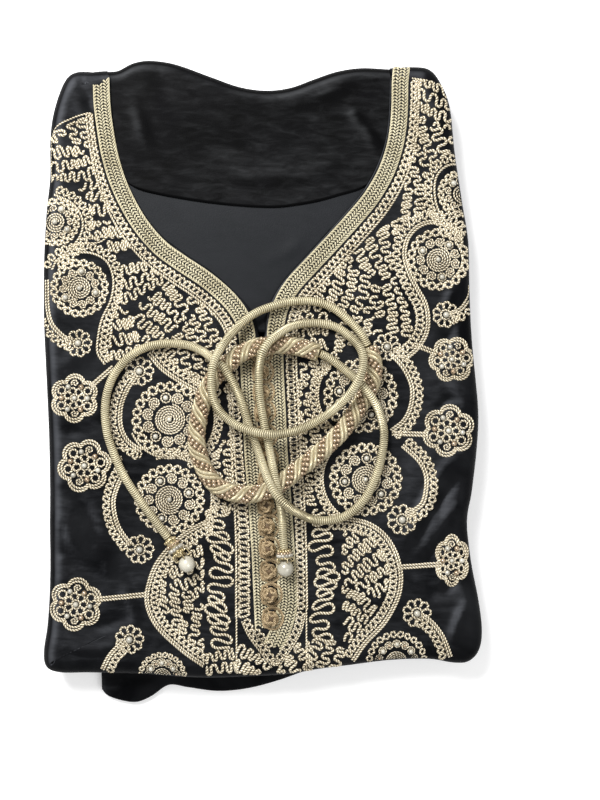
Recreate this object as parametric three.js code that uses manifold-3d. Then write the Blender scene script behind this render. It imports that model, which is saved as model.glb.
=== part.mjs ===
import * as THREE from "three";
import Module from "manifold-3d";

// Velvet kaftan folded to a rectangle, neckline up, with its free cord belt lying on the front.
// Millimetres. X runs to the right of the folded front, Y towards the neck, Z up from the floor.

const solidKit = await Module();
solidKit.setup();
const { Manifold, CrossSection, Mesh } = solidKit;

// Sizes of the cloth, the trim and the belt.
const GAP = 0.35;
const CLOTH = 2;
const TOP = 35;
const LINING = 1;
const FACING = 1.7;
const TRIM_RISE = 2.2;
const WORK_RISE = 1.8;
const TRIM_WIDTH = 14.4;
const SLIT = 2.4;
const BUTTON = 10.8;
const BUTTON_RISE = 6.9;
const CORD = 7;
const ROPE = 13;
const PEARL = 13.2;
const EDGE = 11;
const SEAT = 20.9;
const TALL = 60;
const SMALLEST = 0.03;
const LAID_FINEST = 0.12;
const FOOT = 1.5;

// Folded edge seen from above, clockwise from the right corner of the neck.
const EDGE_X_Y = [
  [103, 252], [120, 253], [134, 251], [143, 240], [150, 221], [154, 185], [160, 145], [165, 113], [166, 73],
  [168, 33], [171, 1], [173, -25], [172, -50], [168, -87], [164, -111], [167, -143], [173, -175], [176, -199],
  [174, -215], [166, -224], [154, -225], [134, -222], [102, -223], [70, -227], [46, -230], [22, -234],
  [-10, -236], [-50, -237], [-98, -234], [-138, -233], [-162, -233], [-173, -229], [-175, -217], [-172, -195],
  [-170, -160], [-170, -127], [-170, -79], [-171, -39], [-173, 5], [-175, 49], [-175, 96], [-173, 136],
  [-170, 165], [-170, 193], [-168, 213], [-163, 231], [-157, 244], [-149, 249], [-136, 249], [-125, 250],
];
// Back neck edge between the two ends of the front, on to the right corner again.
const NECK_TOP_X_Y = [
  [-116, 251], [-104, 257], [-90, 259], [-70, 256], [-42, 246], [-19, 238], [2, 235], [22, 237],
  [42, 244], [60, 250], [80, 253],
];
const EDGE_POINTS = EDGE_X_Y.length;
const OUTLINE = [...EDGE_X_Y, ...NECK_TOP_X_Y].map(([x, y]) => new THREE.Vector2(x, y));

// Cut edge of the front, from the left shoulder down to the point of the neck.
const NECK_LEFT_X_Y = [
  [-121.5, 244], [-121, 226], [-119, 206], [-116, 186], [-108, 160], [-94, 134], [-78, 115], [-61, 102],
  [-42, 89.5], [-26, 76], [-13, 63], [-6, 52], [-3.4, 40],
];
// The same on the right side.
const NECK_RIGHT_X_Y = [
  [102.5, 244], [102, 226], [101, 208], [98, 190], [91, 171], [80, 152], [66, 135], [50, 117],
  [32, 97.5], [17, 81], [7.5, 66], [3.5, 54], [2.4, 40],
];
// Middle of the front slit under the buttons.
const SLIT_X_Y = [
  [-0.4, 32], [-0.2, 8], [0.6, -16], [1.6, -42], [3.6, -70], [5.8, -98], [7.8, -126], [9.8, -154],
  [11.4, -180], [12.6, -204],
];
// Low edge of the velvet facing across the back neck.
const FACING_LOW_X_Y = [
  [-109, 160], [-98, 154], [-82, 150], [-66, 147], [-50, 144.5], [-34, 142.5], [-18, 141], [-2, 140],
  [14, 140], [30, 142], [46, 145], [62, 149.5], [76, 153.5], [84, 157.5],
];

// Largest folds of the cloth: centre, reach both ways, turn and height of each swell.
const FOLDS = [
  { x: 144, y: -66, along: 64, across: 26, turn: 1.15, rise: 1.7 },
  { x: 150, y: -112, along: 50, across: 24, turn: 1.3, rise: -1.5 },
  { x: 118, y: -122, along: 50, across: 28, turn: 0.85, rise: 1.0 },
  { x: 146, y: 52, along: 60, across: 30, turn: 1.45, rise: -1.3 },
  { x: -150, y: -104, along: 60, across: 30, turn: 1.7, rise: 1.4 },
  { x: -128, y: -152, along: 56, across: 28, turn: 0.35, rise: -1.2 },
  { x: -112, y: 34, along: 52, across: 30, turn: 0.7, rise: -1.1 },
  { x: 152, y: 215, along: 40, across: 30, turn: 1.4, rise: 1.0 },
  { x: -10, y: 178, along: 92, across: 46, turn: 0.05, rise: -2.0 },
];

function clothTop(x, y) {
  let z = TOP;
  for (const f of FOLDS) {
    const dx = x - f.x;
    const dy = y - f.y;
    const a = (dx * Math.cos(f.turn) + dy * Math.sin(f.turn)) / f.along;
    const b = (dy * Math.cos(f.turn) - dx * Math.sin(f.turn)) / f.across;
    z += f.rise * Math.exp(-a * a - b * b);
  }
  return z;
}

// Outward directions of the folded edge, and the edge drawn in by a distance.
const OUTWARD = OUTLINE.map((p, i) => {
  const before = OUTLINE[(i + OUTLINE.length - 1) % OUTLINE.length];
  const after = OUTLINE[(i + 1) % OUTLINE.length];
  const run = after.clone().sub(before).normalize();
  return new THREE.Vector2(-run.y, run.x);
});

function drawnIn(i, inset) {
  const k = (i + OUTLINE.length) % OUTLINE.length;
  return OUTLINE[k].clone().addScaledVector(OUTWARD[k], -inset);
}

function nearestEdge(x, y) {
  let least = Infinity;
  let inside = false;
  let rim = null;
  for (let i = 0; i < OUTLINE.length; i++) {
    const a = OUTLINE[i];
    const b = OUTLINE[(i + 1) % OUTLINE.length];
    const ex = b.x - a.x;
    const ey = b.y - a.y;
    const f = THREE.MathUtils.clamp(((x - a.x) * ex + (y - a.y) * ey) / (ex * ex + ey * ey), 0, 1);
    const away = Math.hypot(x - a.x - f * ex, y - a.y - f * ey);
    if (away < least) {
      least = away;
      const reach = EDGE / Math.hypot(ex, ey);
      rim = [a.x + f * ex + ey * reach, a.y + f * ey - ex * reach];
    }
    if (a.y > y !== b.y > y && x < a.x + ((y - a.y) / (b.y - a.y)) * (b.x - a.x)) inside = !inside;
  }
  return { inset: inside ? least : -least, rim };
}

// Height on the rolled edge: a drop from the cloth top, drawn together where the cloth lies lower.
function rolled(near, drop) {
  return SEAT + (near - SEAT) * (1 - drop / (TOP - SEAT));
}

// Roll of the front over the top fold: inset from the folded edge and drop from the cloth top.
const ROLL = [
  { inset: 0, drop: 8.4 },
  { inset: 1, drop: 4.4 },
  { inset: 4.2, drop: 1.3 },
  { inset: EDGE, drop: 0 },
];

function surface(x, y) {
  const { inset, rim } = nearestEdge(x, y);
  if (inset >= EDGE) return clothTop(x, y);
  let drop = ROLL[0].drop;
  for (let i = 1; i < ROLL.length; i++) {
    const a = ROLL[i - 1];
    const b = ROLL[i];
    if (inset >= a.inset) {
      const f = Math.min(1, (inset - a.inset) / (b.inset - a.inset));
      drop = a.drop + (b.drop - a.drop) * f;
    }
  }
  return rolled(clothTop(rim[0], rim[1]), drop);
}

// Closed skin from rings of equal count; the rings join in a loop or end in flat caps.
function skin(rings, loop) {
  const count = rings[0].length;
  const points = rings.flat().flatMap((p) => [p.x, p.y, p.z]);
  const faces = [];
  const last = loop ? rings.length : rings.length - 1;
  for (let i = 0; i < last; i++) {
    const a = i * count;
    const b = ((i + 1) % rings.length) * count;
    for (let j = 0; j < count; j++) {
      const k = (j + 1) % count;
      faces.push(a + j, a + k, b + k, a + j, b + k, b + j);
    }
  }
  if (!loop) {
    const end = (rings.length - 1) * count;
    closeAcross(count).forEach(([p, q, r]) => {
      faces.push(r, q, p);
      faces.push(end + p, end + q, end + r);
    });
  }
  return solidFrom(points, faces);
}

// Flat end of a wall: triangles between its two faces, from one edge to the other.
function closeAcross(count) {
  const faces = [];
  let i = 0;
  let j = count - 1;
  while (j - i > 1) {
    faces.push([i, i + 1, j]);
    i += 1;
    if (j - i > 1) {
      faces.push([i, j - 1, j]);
      j -= 1;
    }
  }
  return faces;
}

function solidFrom(points, faces) {
  const build = (f) =>
    new Manifold(new Mesh({ numProp: 3, vertProperties: new Float32Array(points), triVerts: new Uint32Array(f) }));
  const made = build(faces);
  if (made.volume() > 0) return made;
  const turned = [];
  for (let i = 0; i < faces.length; i += 3) turned.push(faces[i], faces[i + 2], faces[i + 1]);
  return build(turned);
}

function largest(solid, finest = SMALLEST) {
  const bodies = solid.simplify(finest).decompose();
  return bodies.sort((a, b) => b.volume() - a.volume())[0];
}

const root = new THREE.Group();
root.name = "kaftan";

const VELVET = new THREE.MeshStandardMaterial({ color: 0x15171c, roughness: 0.8, name: "velvet" });
const SATIN = new THREE.MeshStandardMaterial({ color: 0x24262a, roughness: 0.45, name: "satin" });
const BRAID = new THREE.MeshStandardMaterial({ color: 0xd9cf9f, roughness: 0.55, name: "braid" });
const COUCHING = new THREE.MeshStandardMaterial({ color: 0xcbb995, roughness: 0.6, name: "couching" });
const BELT = new THREE.MeshStandardMaterial({ color: 0xcdc48f, roughness: 0.5, name: "belt_cord" });
const METAL = new THREE.MeshStandardMaterial({ color: 0xb9a06a, roughness: 0.35, metalness: 0.7, name: "cap" });
const NACRE = new THREE.MeshStandardMaterial({ color: 0xece9e2, roughness: 0.25, name: "pearl" });

function add(name, solid, material) {
  const mesh = solid.getMesh();
  const geometry = new THREE.BufferGeometry();
  geometry.setAttribute("position", new THREE.BufferAttribute(new Float32Array(mesh.vertProperties), 3));
  geometry.setIndex(new THREE.BufferAttribute(new Uint32Array(mesh.triVerts), 1));
  geometry.computeVertexNormals();
  const part = new THREE.Mesh(geometry, material);
  part.name = name;
  root.add(part);
}

// Folded core: three rounded folds one above another, then the top it gives the front to lie on.
const CORE_SIDE = [
  { inset: 8, z: 0 },
  { inset: 3.4, z: 1.5 },
  { inset: 1.3, z: 5.2 },
  { inset: 3.4, z: 8.8 },
  { inset: 8, z: 10.4 },
  { inset: 3.0, z: 12.0 },
  { inset: 0.7, z: 15.6 },
  { inset: 3.0, z: 19.0 },
  { inset: 9, z: 20.4 },
];
const CORE_ROLL = [
  { inset: 5.3, drop: 12.6 },
  { inset: 2.6, drop: 8.5 },
  { inset: 5.6, drop: 5.2 },
];
const CORE_SHRINK = [0.8, 0.55, 0.28];
const coreTop = (x, y) => clothTop(x, y) - CLOTH - GAP - 0.4;

function nearTop(i) {
  const p = drawnIn(i, EDGE);
  return clothTop(p.x, p.y);
}

function coreSolid() {
  const rings = [];
  const ring = (inset, height) =>
    OUTLINE.map((p, i) => {
      const q = drawnIn(i, inset);
      return new THREE.Vector3(q.x, q.y, height(q.x, q.y));
    });
  for (const s of CORE_SIDE) rings.push(ring(s.inset, () => s.z));
  const rim = ring(EDGE + 1, coreTop);
  for (const s of CORE_ROLL) {
    const level = ring(s.inset, () => 0);
    level.forEach((p, i) => (p.z = rolled(nearTop(i), s.drop)));
    rings.push(level);
  }
  rings.push(rim);
  for (const k of CORE_SHRINK) {
    rings.push(rim.map((p) => new THREE.Vector3(p.x * k, p.y * k, coreTop(p.x * k, p.y * k))));
  }
  const points = rings.flat().flatMap((p) => [p.x, p.y, p.z]);
  const count = OUTLINE.length;
  const faces = [];
  for (let i = 0; i < rings.length - 1; i++) {
    for (let j = 0; j < count; j++) {
      const k = (j + 1) % count;
      const a = i * count;
      const b = a + count;
      faces.push(a + j, a + k, b + k, a + j, b + k, b + j);
    }
  }
  const low = points.length / 3;
  points.push(0, 0, 0);
  points.push(0, 0, coreTop(0, 0));
  const end = (rings.length - 1) * count;
  for (let j = 0; j < count; j++) {
    const k = (j + 1) % count;
    faces.push(low, k, j);
    faces.push(low + 1, end + j, end + k);
  }
  return solidFrom(points, faces);
}

// Inner line of the front, from the left shoulder round the slit to the right shoulder.
const slitSide = (side) => SLIT_X_Y.map(([x, y]) => [x + (side * SLIT) / 2, y]);
const INNER = [
  ...NECK_LEFT_X_Y,
  ...slitSide(-1),
  ...slitSide(1).reverse(),
  ...[...NECK_RIGHT_X_Y].reverse(),
].map(([x, y]) => new THREE.Vector2(x, y));

// Outer line walked the same way, with the place on the inner line that each stretch faces.
const OUTER_INDEX = Array.from({ length: EDGE_POINTS }, (_, i) => EDGE_POINTS - 1 - i);
const FACES = [
  { outer: 0, inner: 0 },
  { outer: 4, inner: 1 },
  { outer: 9, inner: 10 },
  { outer: 12, inner: 15 },
  { outer: 18, inner: 19.4 },
  { outer: 23, inner: 22 },
  { outer: 25, inner: 23.4 },
  { outer: 30, inner: 25.6 },
  { outer: 36, inner: 29 },
  { outer: 41, inner: 36 },
  { outer: 45, inner: 44 },
  { outer: EDGE_POINTS - 1, inner: INNER.length - 1 },
];

function along(points, place) {
  const i = Math.min(points.length - 2, Math.floor(place));
  return points[i].clone().lerp(points[i + 1], place - i);
}

// Places where the front is cut into strips: every corner of its outer and of its inner line.
function strips() {
  const innerOf = (o) => mapPlace(o, "outer", "inner");
  const outerOf = (n) => mapPlace(n, "inner", "outer");
  const places = [];
  for (let o = 0; o < EDGE_POINTS; o++) places.push({ outer: o, inner: innerOf(o) });
  for (let n = 1; n < INNER.length - 1; n++) {
    const o = outerOf(n);
    const near = places[Math.round(o)];
    if (Math.abs(o - Math.round(o)) > 0.34 || near.moved) {
      places.push({ outer: o, inner: n });
    } else {
      near.inner = n;
      near.moved = true;
    }
  }
  return places.sort((a, b) => a.outer - b.outer || a.inner - b.inner);
}

function mapPlace(value, from, to) {
  for (let i = 1; i < FACES.length; i++) {
    if (value <= FACES[i][from]) {
      const a = FACES[i - 1];
      const b = FACES[i];
      return a[to] + ((b[to] - a[to]) * (value - a[from])) / (b[from] - a[from]);
    }
  }
  return FACES[FACES.length - 1][to];
}

const STRIPS = strips();
const SPAN = [0, 0.3, 0.65, 1];

function outerAt(place, inset) {
  const i = Math.min(EDGE_POINTS - 2, Math.floor(place));
  const a = drawnIn(OUTER_INDEX[i], inset);
  const b = drawnIn(OUTER_INDEX[i + 1], inset);
  return a.lerp(b, place - i);
}

// Section across one side of the front: over the panel, round the fold and back underneath it.
function frontSection(strip, out, under, filled) {
  const inner = along(INNER, strip.inner);
  const rim = outerAt(strip.outer, EDGE);
  const section = [];
  const put = (p, z) => section.push(new THREE.Vector3(p.x, p.y, z));
  const spots = SPAN.map((f) => inner.clone().lerp(rim, f));
  spots[0].addScaledVector(inner.clone().sub(rim).normalize(), out);
  for (const p of spots) put(p, clothTop(p.x, p.y) + out);
  const near = clothTop(rim.x, rim.y);
  const round = [
    { inset: 4.2, drop: 1.3 },
    { inset: 1.0, drop: 4.4 },
    { inset: 0, drop: 8.4 },
    { inset: 0.9, drop: 11.8 },
  ];
  for (const r of round) put(outerAt(strip.outer, r.inset - out), rolled(near, r.drop) + out * (1 - r.drop / 12));
  if (filled) {
    put(outerAt(strip.outer, 0.9 - out), 4);
    put(outerAt(strip.outer, EDGE), 4);
    put(spots[0], 4);
    return section;
  }
  put(outerAt(strip.outer, 3.2), rolled(near, 14));
  put(outerAt(strip.outer, 4.6 + under), rolled(near, 12.6) - under);
  put(outerAt(strip.outer, 2.0 + under), rolled(near, 8.5));
  put(outerAt(strip.outer, 4.9 + under), rolled(near, 3.6) - under);
  for (const p of spots.reverse()) put(p, clothTop(p.x, p.y) - CLOTH - under);
  return section;
}

const front = skin(STRIPS.map((s) => frontSection(s, 0, 0, false)), false);
const frontMovedOut = skin(STRIPS.map((s) => frontSection(s, GAP + 0.1, 0, true)), false);
const frontMovedIn = skin(STRIPS.map((s) => frontSection(s, 0, GAP, false)), false);
add("front", front, VELVET);

// Plan shapes.
function planOf(points) {
  const plan = new CrossSection([points.map((p) => [p.x, p.y])], "NonZero");
  return plan;
}

function smooth(points, steps) {
  const curve = new THREE.SplineCurve(points.map(([x, y]) => new THREE.Vector2(x, y)));
  return curve.getSpacedPoints(steps);
}

function sidesOf(line, left, right) {
  const n = line.length;
  return line.map((p, i) => {
    const before = line[Math.max(0, i - 1)];
    const after = line[Math.min(n - 1, i + 1)];
    const run = after.clone().sub(before).normalize();
    const side = new THREE.Vector2(-run.y, run.x);
    const l = typeof left === "function" ? left(i / (n - 1), i) : left;
    const r = typeof right === "function" ? right(i / (n - 1), i) : right;
    return { left: p.clone().addScaledVector(side, l), mid: p.clone(), right: p.clone().addScaledVector(side, -r) };
  });
}

// Raised strip along a line, flat or with a crown in the middle; its foot reaches into the cloth.
function raisedStrip(line, left, right, rise, crown) {
  const rings = sidesOf(line, left, right).map((s) => {
    const l = s.left;
    const r = s.right;
    const m = l.clone().lerp(r, 0.5);
    const at = (p, up) => new THREE.Vector3(p.x, p.y, surface(p.x, p.y) + up);
    const foot = (p) => new THREE.Vector3(p.x, p.y, surface(p.x, p.y) - FOOT);
    if (!crown) return [at(l, rise), at(r, rise), foot(r), foot(l)];
    return [at(l, rise * (1 - crown)), at(m, rise), at(r, rise * (1 - crown)), foot(r), foot(l)];
  });
  return skin(rings, false);
}

// Raised round figure: rings about a centre, each with a share of the reach and a height.
function raisedRound(centre, reach, steps, profile) {
  const [cx, cy] = centre;
  const points = [];
  const faces = [];
  for (const ring of profile) {
    for (let j = 0; j < steps; j++) {
      const turn = (2 * Math.PI * j) / steps;
      const r = (ring.plain ? ring.share * ring.plain : ring.share * reach(turn, j));
      const x = cx + r * Math.cos(turn);
      const y = cy + r * Math.sin(turn);
      points.push(x, y, surface(x, y) + ring.rise);
    }
  }
  const rimCount = profile.length;
  for (let j = 0; j < steps; j++) {
    const base = ((rimCount - 1) * steps + j) * 3;
    points.push(points[base], points[base + 1], surface(points[base], points[base + 1]) - FOOT);
  }
  for (let i = 0; i < rimCount; i++) {
    for (let j = 0; j < steps; j++) {
      const k = (j + 1) % steps;
      const a = i * steps;
      const b = a + steps;
      faces.push(a + j, b + j, b + k, a + j, b + k, a + k);
    }
  }
  const top = points.length / 3;
  points.push(cx, cy, surface(cx, cy) + profile[0].rise);
  points.push(cx, cy, surface(cx, cy) - FOOT);
  const low = rimCount * steps;
  for (let j = 0; j < steps; j++) {
    const k = (j + 1) % steps;
    faces.push(top, j, k);
    faces.push(top + 1, low + k, low + j);
  }
  return solidFrom(points, faces);
}

// Where a later piece may lie: inside the folded edge and clear of the pieces laid before it.
const edgePlan = (inset) => planOf(OUTLINE.map((p, i) => drawnIn(i, inset)));
const WORK_LIMIT = edgePlan(1.6);
let taken = null;

function lay(name, solids, plans, material) {
  const joined = solids.length > 1 ? Manifold.union(solids) : solids[0];
  let plan = plans.length > 1 ? CrossSection.union(plans) : plans[0];
  plan = plan.intersect(WORK_LIMIT);
  if (taken) plan = plan.subtract(taken.offset(GAP + 0.1, "Miter"));
  plan = plan.simplify(0.05);
  const prism = Manifold.extrude(plan, TALL, 0, 0, [1, 1], false);
  const laid = largest(joined.intersect(prism).subtract(frontMovedOut), LAID_FINEST);
  add(name, laid, material);
  const used = laid.project ? laid.project().simplify(0.05) : plan;
  taken = taken ? taken.add(used) : used;
}

// Gold braid trims: round the neck, down beside the slit, the right one ending in the point.
const TRIM_LEFT_X_Y = [
  [-128.6, 241], [-128, 222], [-125.6, 202], [-121.5, 180], [-113.5, 155.5], [-99.5, 129], [-83, 109],
  [-65.5, 95.8], [-46.5, 83.2], [-31, 70.4], [-20.5, 58.5], [-13.6, 45.5], [-11.6, 32], [-10.6, 8],
  [-9, -24], [-7.4, -58], [-4.6, -94], [-2, -132], [-0.4, -168], [1, -198],
];
const TRIM_RIGHT_X_Y = [
  [110.6, 241], [110.2, 222], [109, 204], [105.6, 186], [98.6, 166.5], [87, 147], [72.5, 129.5],
  [56, 111.4], [38.2, 92.4], [24, 76.6], [15.2, 61], [11.4, 46], [10.4, 32], [10.8, 8], [12.4, -24],
  [14, -58], [16.8, -94], [19.4, -132], [21.4, -162], [21.8, -178], [17.4, -196], [9.8, -212],
];
const trimLeft = smooth(TRIM_LEFT_X_Y, 32);
const trimRight = smooth(TRIM_RIGHT_X_Y, 34);
const trimHalf = () => TRIM_WIDTH / 2;
const besideButtons = (t) => THREE.MathUtils.lerp(trimHalf(), 2.4, THREE.MathUtils.smoothstep(t, 0.5, 0.62));

function ribbon(name, line, left, right, rise, crown, material, extra) {
  const solid = raisedStrip(line, left, right, rise, crown);
  const sides = sidesOf(line, left, right);
  const loop = [...sides.map((s) => s.right), ...sides.map((s) => s.left).reverse()];
  lay(name, [solid, ...(extra ? extra.map((e) => e.solid) : [])], [planOf(loop), ...(extra ? extra.map((e) => e.plan) : [])], material);
}

ribbon("trim_left", trimLeft, besideButtons, trimHalf, TRIM_RISE, 0.16, BRAID);
ribbon("trim_right", trimRight, trimHalf, trimHalf, TRIM_RISE, 0.16, BRAID);

// Couched borders beside the trims, wider where they come down the middle of the front.
const BORDER = { neck: 8.4, middle: 9.2, away: 13.2 };
function beside(line, side, first, last, away) {
  const sides = sidesOf(line, away, away);
  return sides.slice(first, last).map((s) => (side > 0 ? s.left : s.right));
}
const borderLeft = beside(trimLeft, -1, 4, 33, BORDER.away);
const borderRight = beside(trimRight, 1, 3, 32, BORDER.away);
ribbon("neck_border_left", borderLeft, BORDER.neck / 2, BORDER.neck / 2, WORK_RISE, 0.3, COUCHING);
ribbon("neck_border_right", borderRight, BORDER.neck / 2, BORDER.neck / 2, WORK_RISE, 0.3, COUCHING);

// Scalloped edge: the loops of a couched band, two stations to a loop.
const scallop = (deep, shallow) => (t, i) => (i % 2 ? deep : shallow);

function bandWithBead(name, points, steps, inner, outerDeep, outerShallow, bead, material, side) {
  const line = smooth(points, steps);
  const deep = scallop(outerDeep, outerShallow);
  const left = side > 0 ? deep : inner;
  const right = side > 0 ? inner : deep;
  ribbon(name, line, left, right, WORK_RISE, 0, material, bead ? [roseSmall(bead.at, bead.reach)] : null);
}

// Small rosette of looped cord round a bead at the end of a band.
function roseSmall(at, reach) {
  const reachOf = (turn, j) => reach * (j % 2 ? 0.84 : 1);
  const profile = [
    { share: 0.3, rise: WORK_RISE + 0.9 },
    { share: 0.42, rise: WORK_RISE * 0.6 },
    { share: 0.8, rise: WORK_RISE * 0.9 },
    { share: 1, rise: WORK_RISE * 0.5 },
  ];
  return roundFigure(at, reachOf, 12, profile);
}

function roundFigure(at, reachOf, steps, profile) {
  const rim = Array.from({ length: steps }, (_, j) => {
    const turn = (2 * Math.PI * j) / steps;
    return new THREE.Vector2(at[0] + reachOf(turn, j) * Math.cos(turn), at[1] + reachOf(turn, j) * Math.sin(turn));
  });
  return { solid: raisedRound(at, reachOf, steps, profile), plan: planOf(rim) };
}

// Medallions: spiral disc, beaded ring and an outer ring of loops.
const MEDALLIONS = [
  { name: "medallion_left_1", at: [-163, 128], reach: 17.5 },
  { name: "medallion_left_2", at: [-146, 73], reach: 22.5 },
  { name: "medallion_left_3", at: [-74, -29], reach: 29.6 },
  { name: "medallion_left_4", at: [-74, -94.5], reach: 27.6 },
  { name: "medallion_right_1", at: [158, 151], reach: 17.5 },
  { name: "medallion_right_2", at: [140, 100], reach: 23.5 },
  { name: "medallion_right_3", at: [79, -12], reach: 29.6 },
  { name: "medallion_right_4", at: [81, -78], reach: 27.6 },
];
for (const m of MEDALLIONS) {
  const steps = m.reach > 25 ? 26 : 20;
  const reachOf = (turn, j) => m.reach * (j % 2 ? 0.955 : 1);
  const profile = [
    { share: 0.34, rise: WORK_RISE + 0.3 },
    { share: 0.5, rise: WORK_RISE * 0.6 },
    { share: 0.66, rise: WORK_RISE + 0.2 },
    { share: 0.8, rise: WORK_RISE * 0.6 },
    { share: 1, rise: WORK_RISE },
  ];
  const figure = roundFigure(m.at, reachOf, steps, profile);
  lay(m.name, [figure.solid], [figure.plan], COUCHING);
}

// Scalloped bands that hold the medallions, each ending in a small beaded rosette.
const BANDS = [
  {
    name: "band_left_2", side: -1, steps: 14, bead: { at: [-147, 31], reach: 8.5 },
    line: [[-171, 88], [-172, 66], [-168, 50], [-158, 40], [-150, 34]],
  },
  {
    name: "band_left_3", side: -1, steps: 16, bead: { at: [-98, 8.5], reach: 9 },
    line: [[-101, 6], [-108, -6], [-113, -20], [-113, -36], [-107, -48], [-97, -56]],
  },
  {
    name: "band_left_4", side: -1, steps: 16, bead: { at: [-97, -134], reach: 9.5 },
    line: [[-110, -78], [-116, -92], [-117, -106], [-112, -122], [-101, -131]],
  },
  {
    name: "band_right_2", side: 1, steps: 12, bead: { at: [147, 53], reach: 8 },
    line: [[166, 78], [160, 66], [150, 56]],
  },
  {
    name: "band_right_3", side: 1, steps: 16, bead: { at: [98, 25], reach: 8.5 },
    line: [[101, 23], [112, 12], [118, -2], [119, -16], [114, -28], [105, -36]],
  },
  {
    name: "band_right_4", side: 1, steps: 16, bead: { at: [112, -111], reach: 10 },
    line: [[115, -52], [125, -60], [131, -72], [132, -86], [128, -98], [116, -106]],
  },
  {
    name: "sprig_left", side: -1, steps: 12, bead: { at: [-107, -205], reach: 9 },
    line: [[-124, -228], [-119, -217], [-110, -207]],
  },
  {
    name: "sprig_right", side: 1, steps: 12, bead: { at: [123, -186], reach: 9 },
    line: [[149, -220], [143, -205], [135, -194], [126, -188]],
  },
];

// Borders that close the chest and the waist figures.
const CLOSING = [
  {
    name: "chest_border_left", side: 1, steps: 14,
    line: [[-90, 24], [-80, 12], [-66, 2], [-50, -7], [-36, -14]],
  },
  {
    name: "chest_border_right", side: -1, steps: 16,
    line: [[132, 60], [127, 44], [126, 30], [123, 14], [112, 4]].map(([x, y]) => [x - 2, y + 4]),
  },
  {
    name: "waist_border_left", side: 1, steps: 20,
    line: [[-52, -117], [-68, -128], [-82, -144], [-89, -161], [-91, -177], [-82, -195], [-62, -214], [-44, -226]],
  },
  {
    name: "waist_border_right", side: -1, steps: 20,
    line: [[78, -110], [98, -122], [108, -138], [110, -158], [103, -176], [84, -206], [72, -222]],
  },
];
for (const c of CLOSING) bandWithBead(c.name, c.line, c.steps, 2.2, 4.6, 3.4, null, COUCHING, c.side);
for (const b of BANDS) bandWithBead(b.name, b.line, b.steps, 2.4, 5.4, 3.8, b.bead, COUCHING, b.side);

// Half medallions cut by the low fold.
const FANS = [
  { name: "fan_left", at: [-80, -231], reach: 20 },
  { name: "fan_right", at: [108, -223], reach: 24 },
];
for (const f of FANS) {
  const reachOf = (turn, j) => f.reach * (j % 2 ? 0.92 : 1);
  const profile = [
    { share: 0.25, rise: WORK_RISE + 0.6 },
    { share: 0.5, rise: WORK_RISE * 0.6 },
    { share: 0.85, rise: WORK_RISE },
    { share: 1, rise: WORK_RISE * 0.5 },
  ];
  const figure = roundFigure(f.at, reachOf, 20, profile);
  lay(f.name, [figure.solid], [figure.plan], COUCHING);
}

// Six-lobed flowers, each on a stem of two cords.
const FLOWERS = [
  { name: "flower_left_1", at: [-150, -13], reach: 20, turn: 0.5, stem: [[-131, 3], [-119, 8]] },
  { name: "flower_left_2", at: [-142, -67], reach: 22, turn: 0.2, stem: [[-121, -63], [-112, -61]] },
  { name: "flower_left_3", at: [-149, -178], reach: 22, turn: 0.4, stem: [[-130, -174], [-94, -170]] },
  { name: "flower_right_1", at: [152, 18], reach: 19, turn: 0.1, stem: [[137, 24], [128, 28]] },
  { name: "flower_right_2", at: [149, -39], reach: 21.5, turn: 0.4, stem: [[129, -42], [120, -43]] },
  { name: "flower_right_3", at: [153, -144], reach: 19, turn: 0.0, stem: [[140, -145], [111, -148]] },
];
for (const f of FLOWERS) {
  const reachOf = (turn) => f.reach * (0.86 + 0.14 * Math.cos(6 * (turn - f.turn)));
  const profile = [
    { share: 0.16, rise: WORK_RISE + 1.2 },
    { share: 0.24, rise: WORK_RISE * 0.6 },
    { share: 0.62, rise: WORK_RISE * 0.5 },
    { share: 0.86, rise: WORK_RISE },
    { share: 1, rise: WORK_RISE * 0.5 },
  ];
  const figure = roundFigure(f.at, reachOf, 18, profile);
  const [a, b] = f.stem.map(([x, y]) => new THREE.Vector2(x, y));
  const run = b.clone().sub(a).normalize();
  const root0 = a.clone().addScaledVector(run, -5);
  const stemLine = [root0, a, b];
  const stem = raisedStrip(stemLine, 2, 2, WORK_RISE * 0.8, 0);
  const sides = sidesOf(stemLine, 2, 2);
  const stemPlan = planOf([...sides.map((s) => s.right), ...sides.map((s) => s.left).reverse()]);
  lay(f.name, [figure.solid, stem], [figure.plan, stemPlan], COUCHING);
}

// Back neck facing of velvet, rolling over the top fold.
const NECK_TOP = NECK_TOP_X_Y.length;
function facingSolid() {
  const rows = NECK_TOP;
  const rings = [];
  for (let i = 0; i < rows; i++) {
    const f = i / (rows - 1);
    const k = EDGE_POINTS + i;
    const low = along(FACING_LOW_X_Y.map(([x, y]) => new THREE.Vector2(x, y)), f * (FACING_LOW_X_Y.length - 1));
    low.y += 0.2;
    const rim = drawnIn(k, EDGE);
    const top = (p, up) => new THREE.Vector3(p.x, p.y, coreTop(p.x, p.y) + GAP + up);
    const spots = [0, 0.5, 1].map((g) => low.clone().lerp(rim, g));
    const ring = spots.map((p) => top(p, FACING));
    const near = nearTop(k);
    const at = (inset, drop) => {
      const p = drawnIn(k, inset);
      ring.push(new THREE.Vector3(p.x, p.y, rolled(near, drop)));
    };
    at(4.2, 1.9);
    at(1.0, 4.9);
    at(0.2, 8.4);
    at(0.9, 11.4);
    at(2.3, 10.6);
    at(2.0, 8.4);
    at(4.9, 3.7);
    for (const p of spots.reverse()) ring.push(top(p, 0));
    rings.push(ring);
  }
  return skin(rings, false);
}

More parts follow.
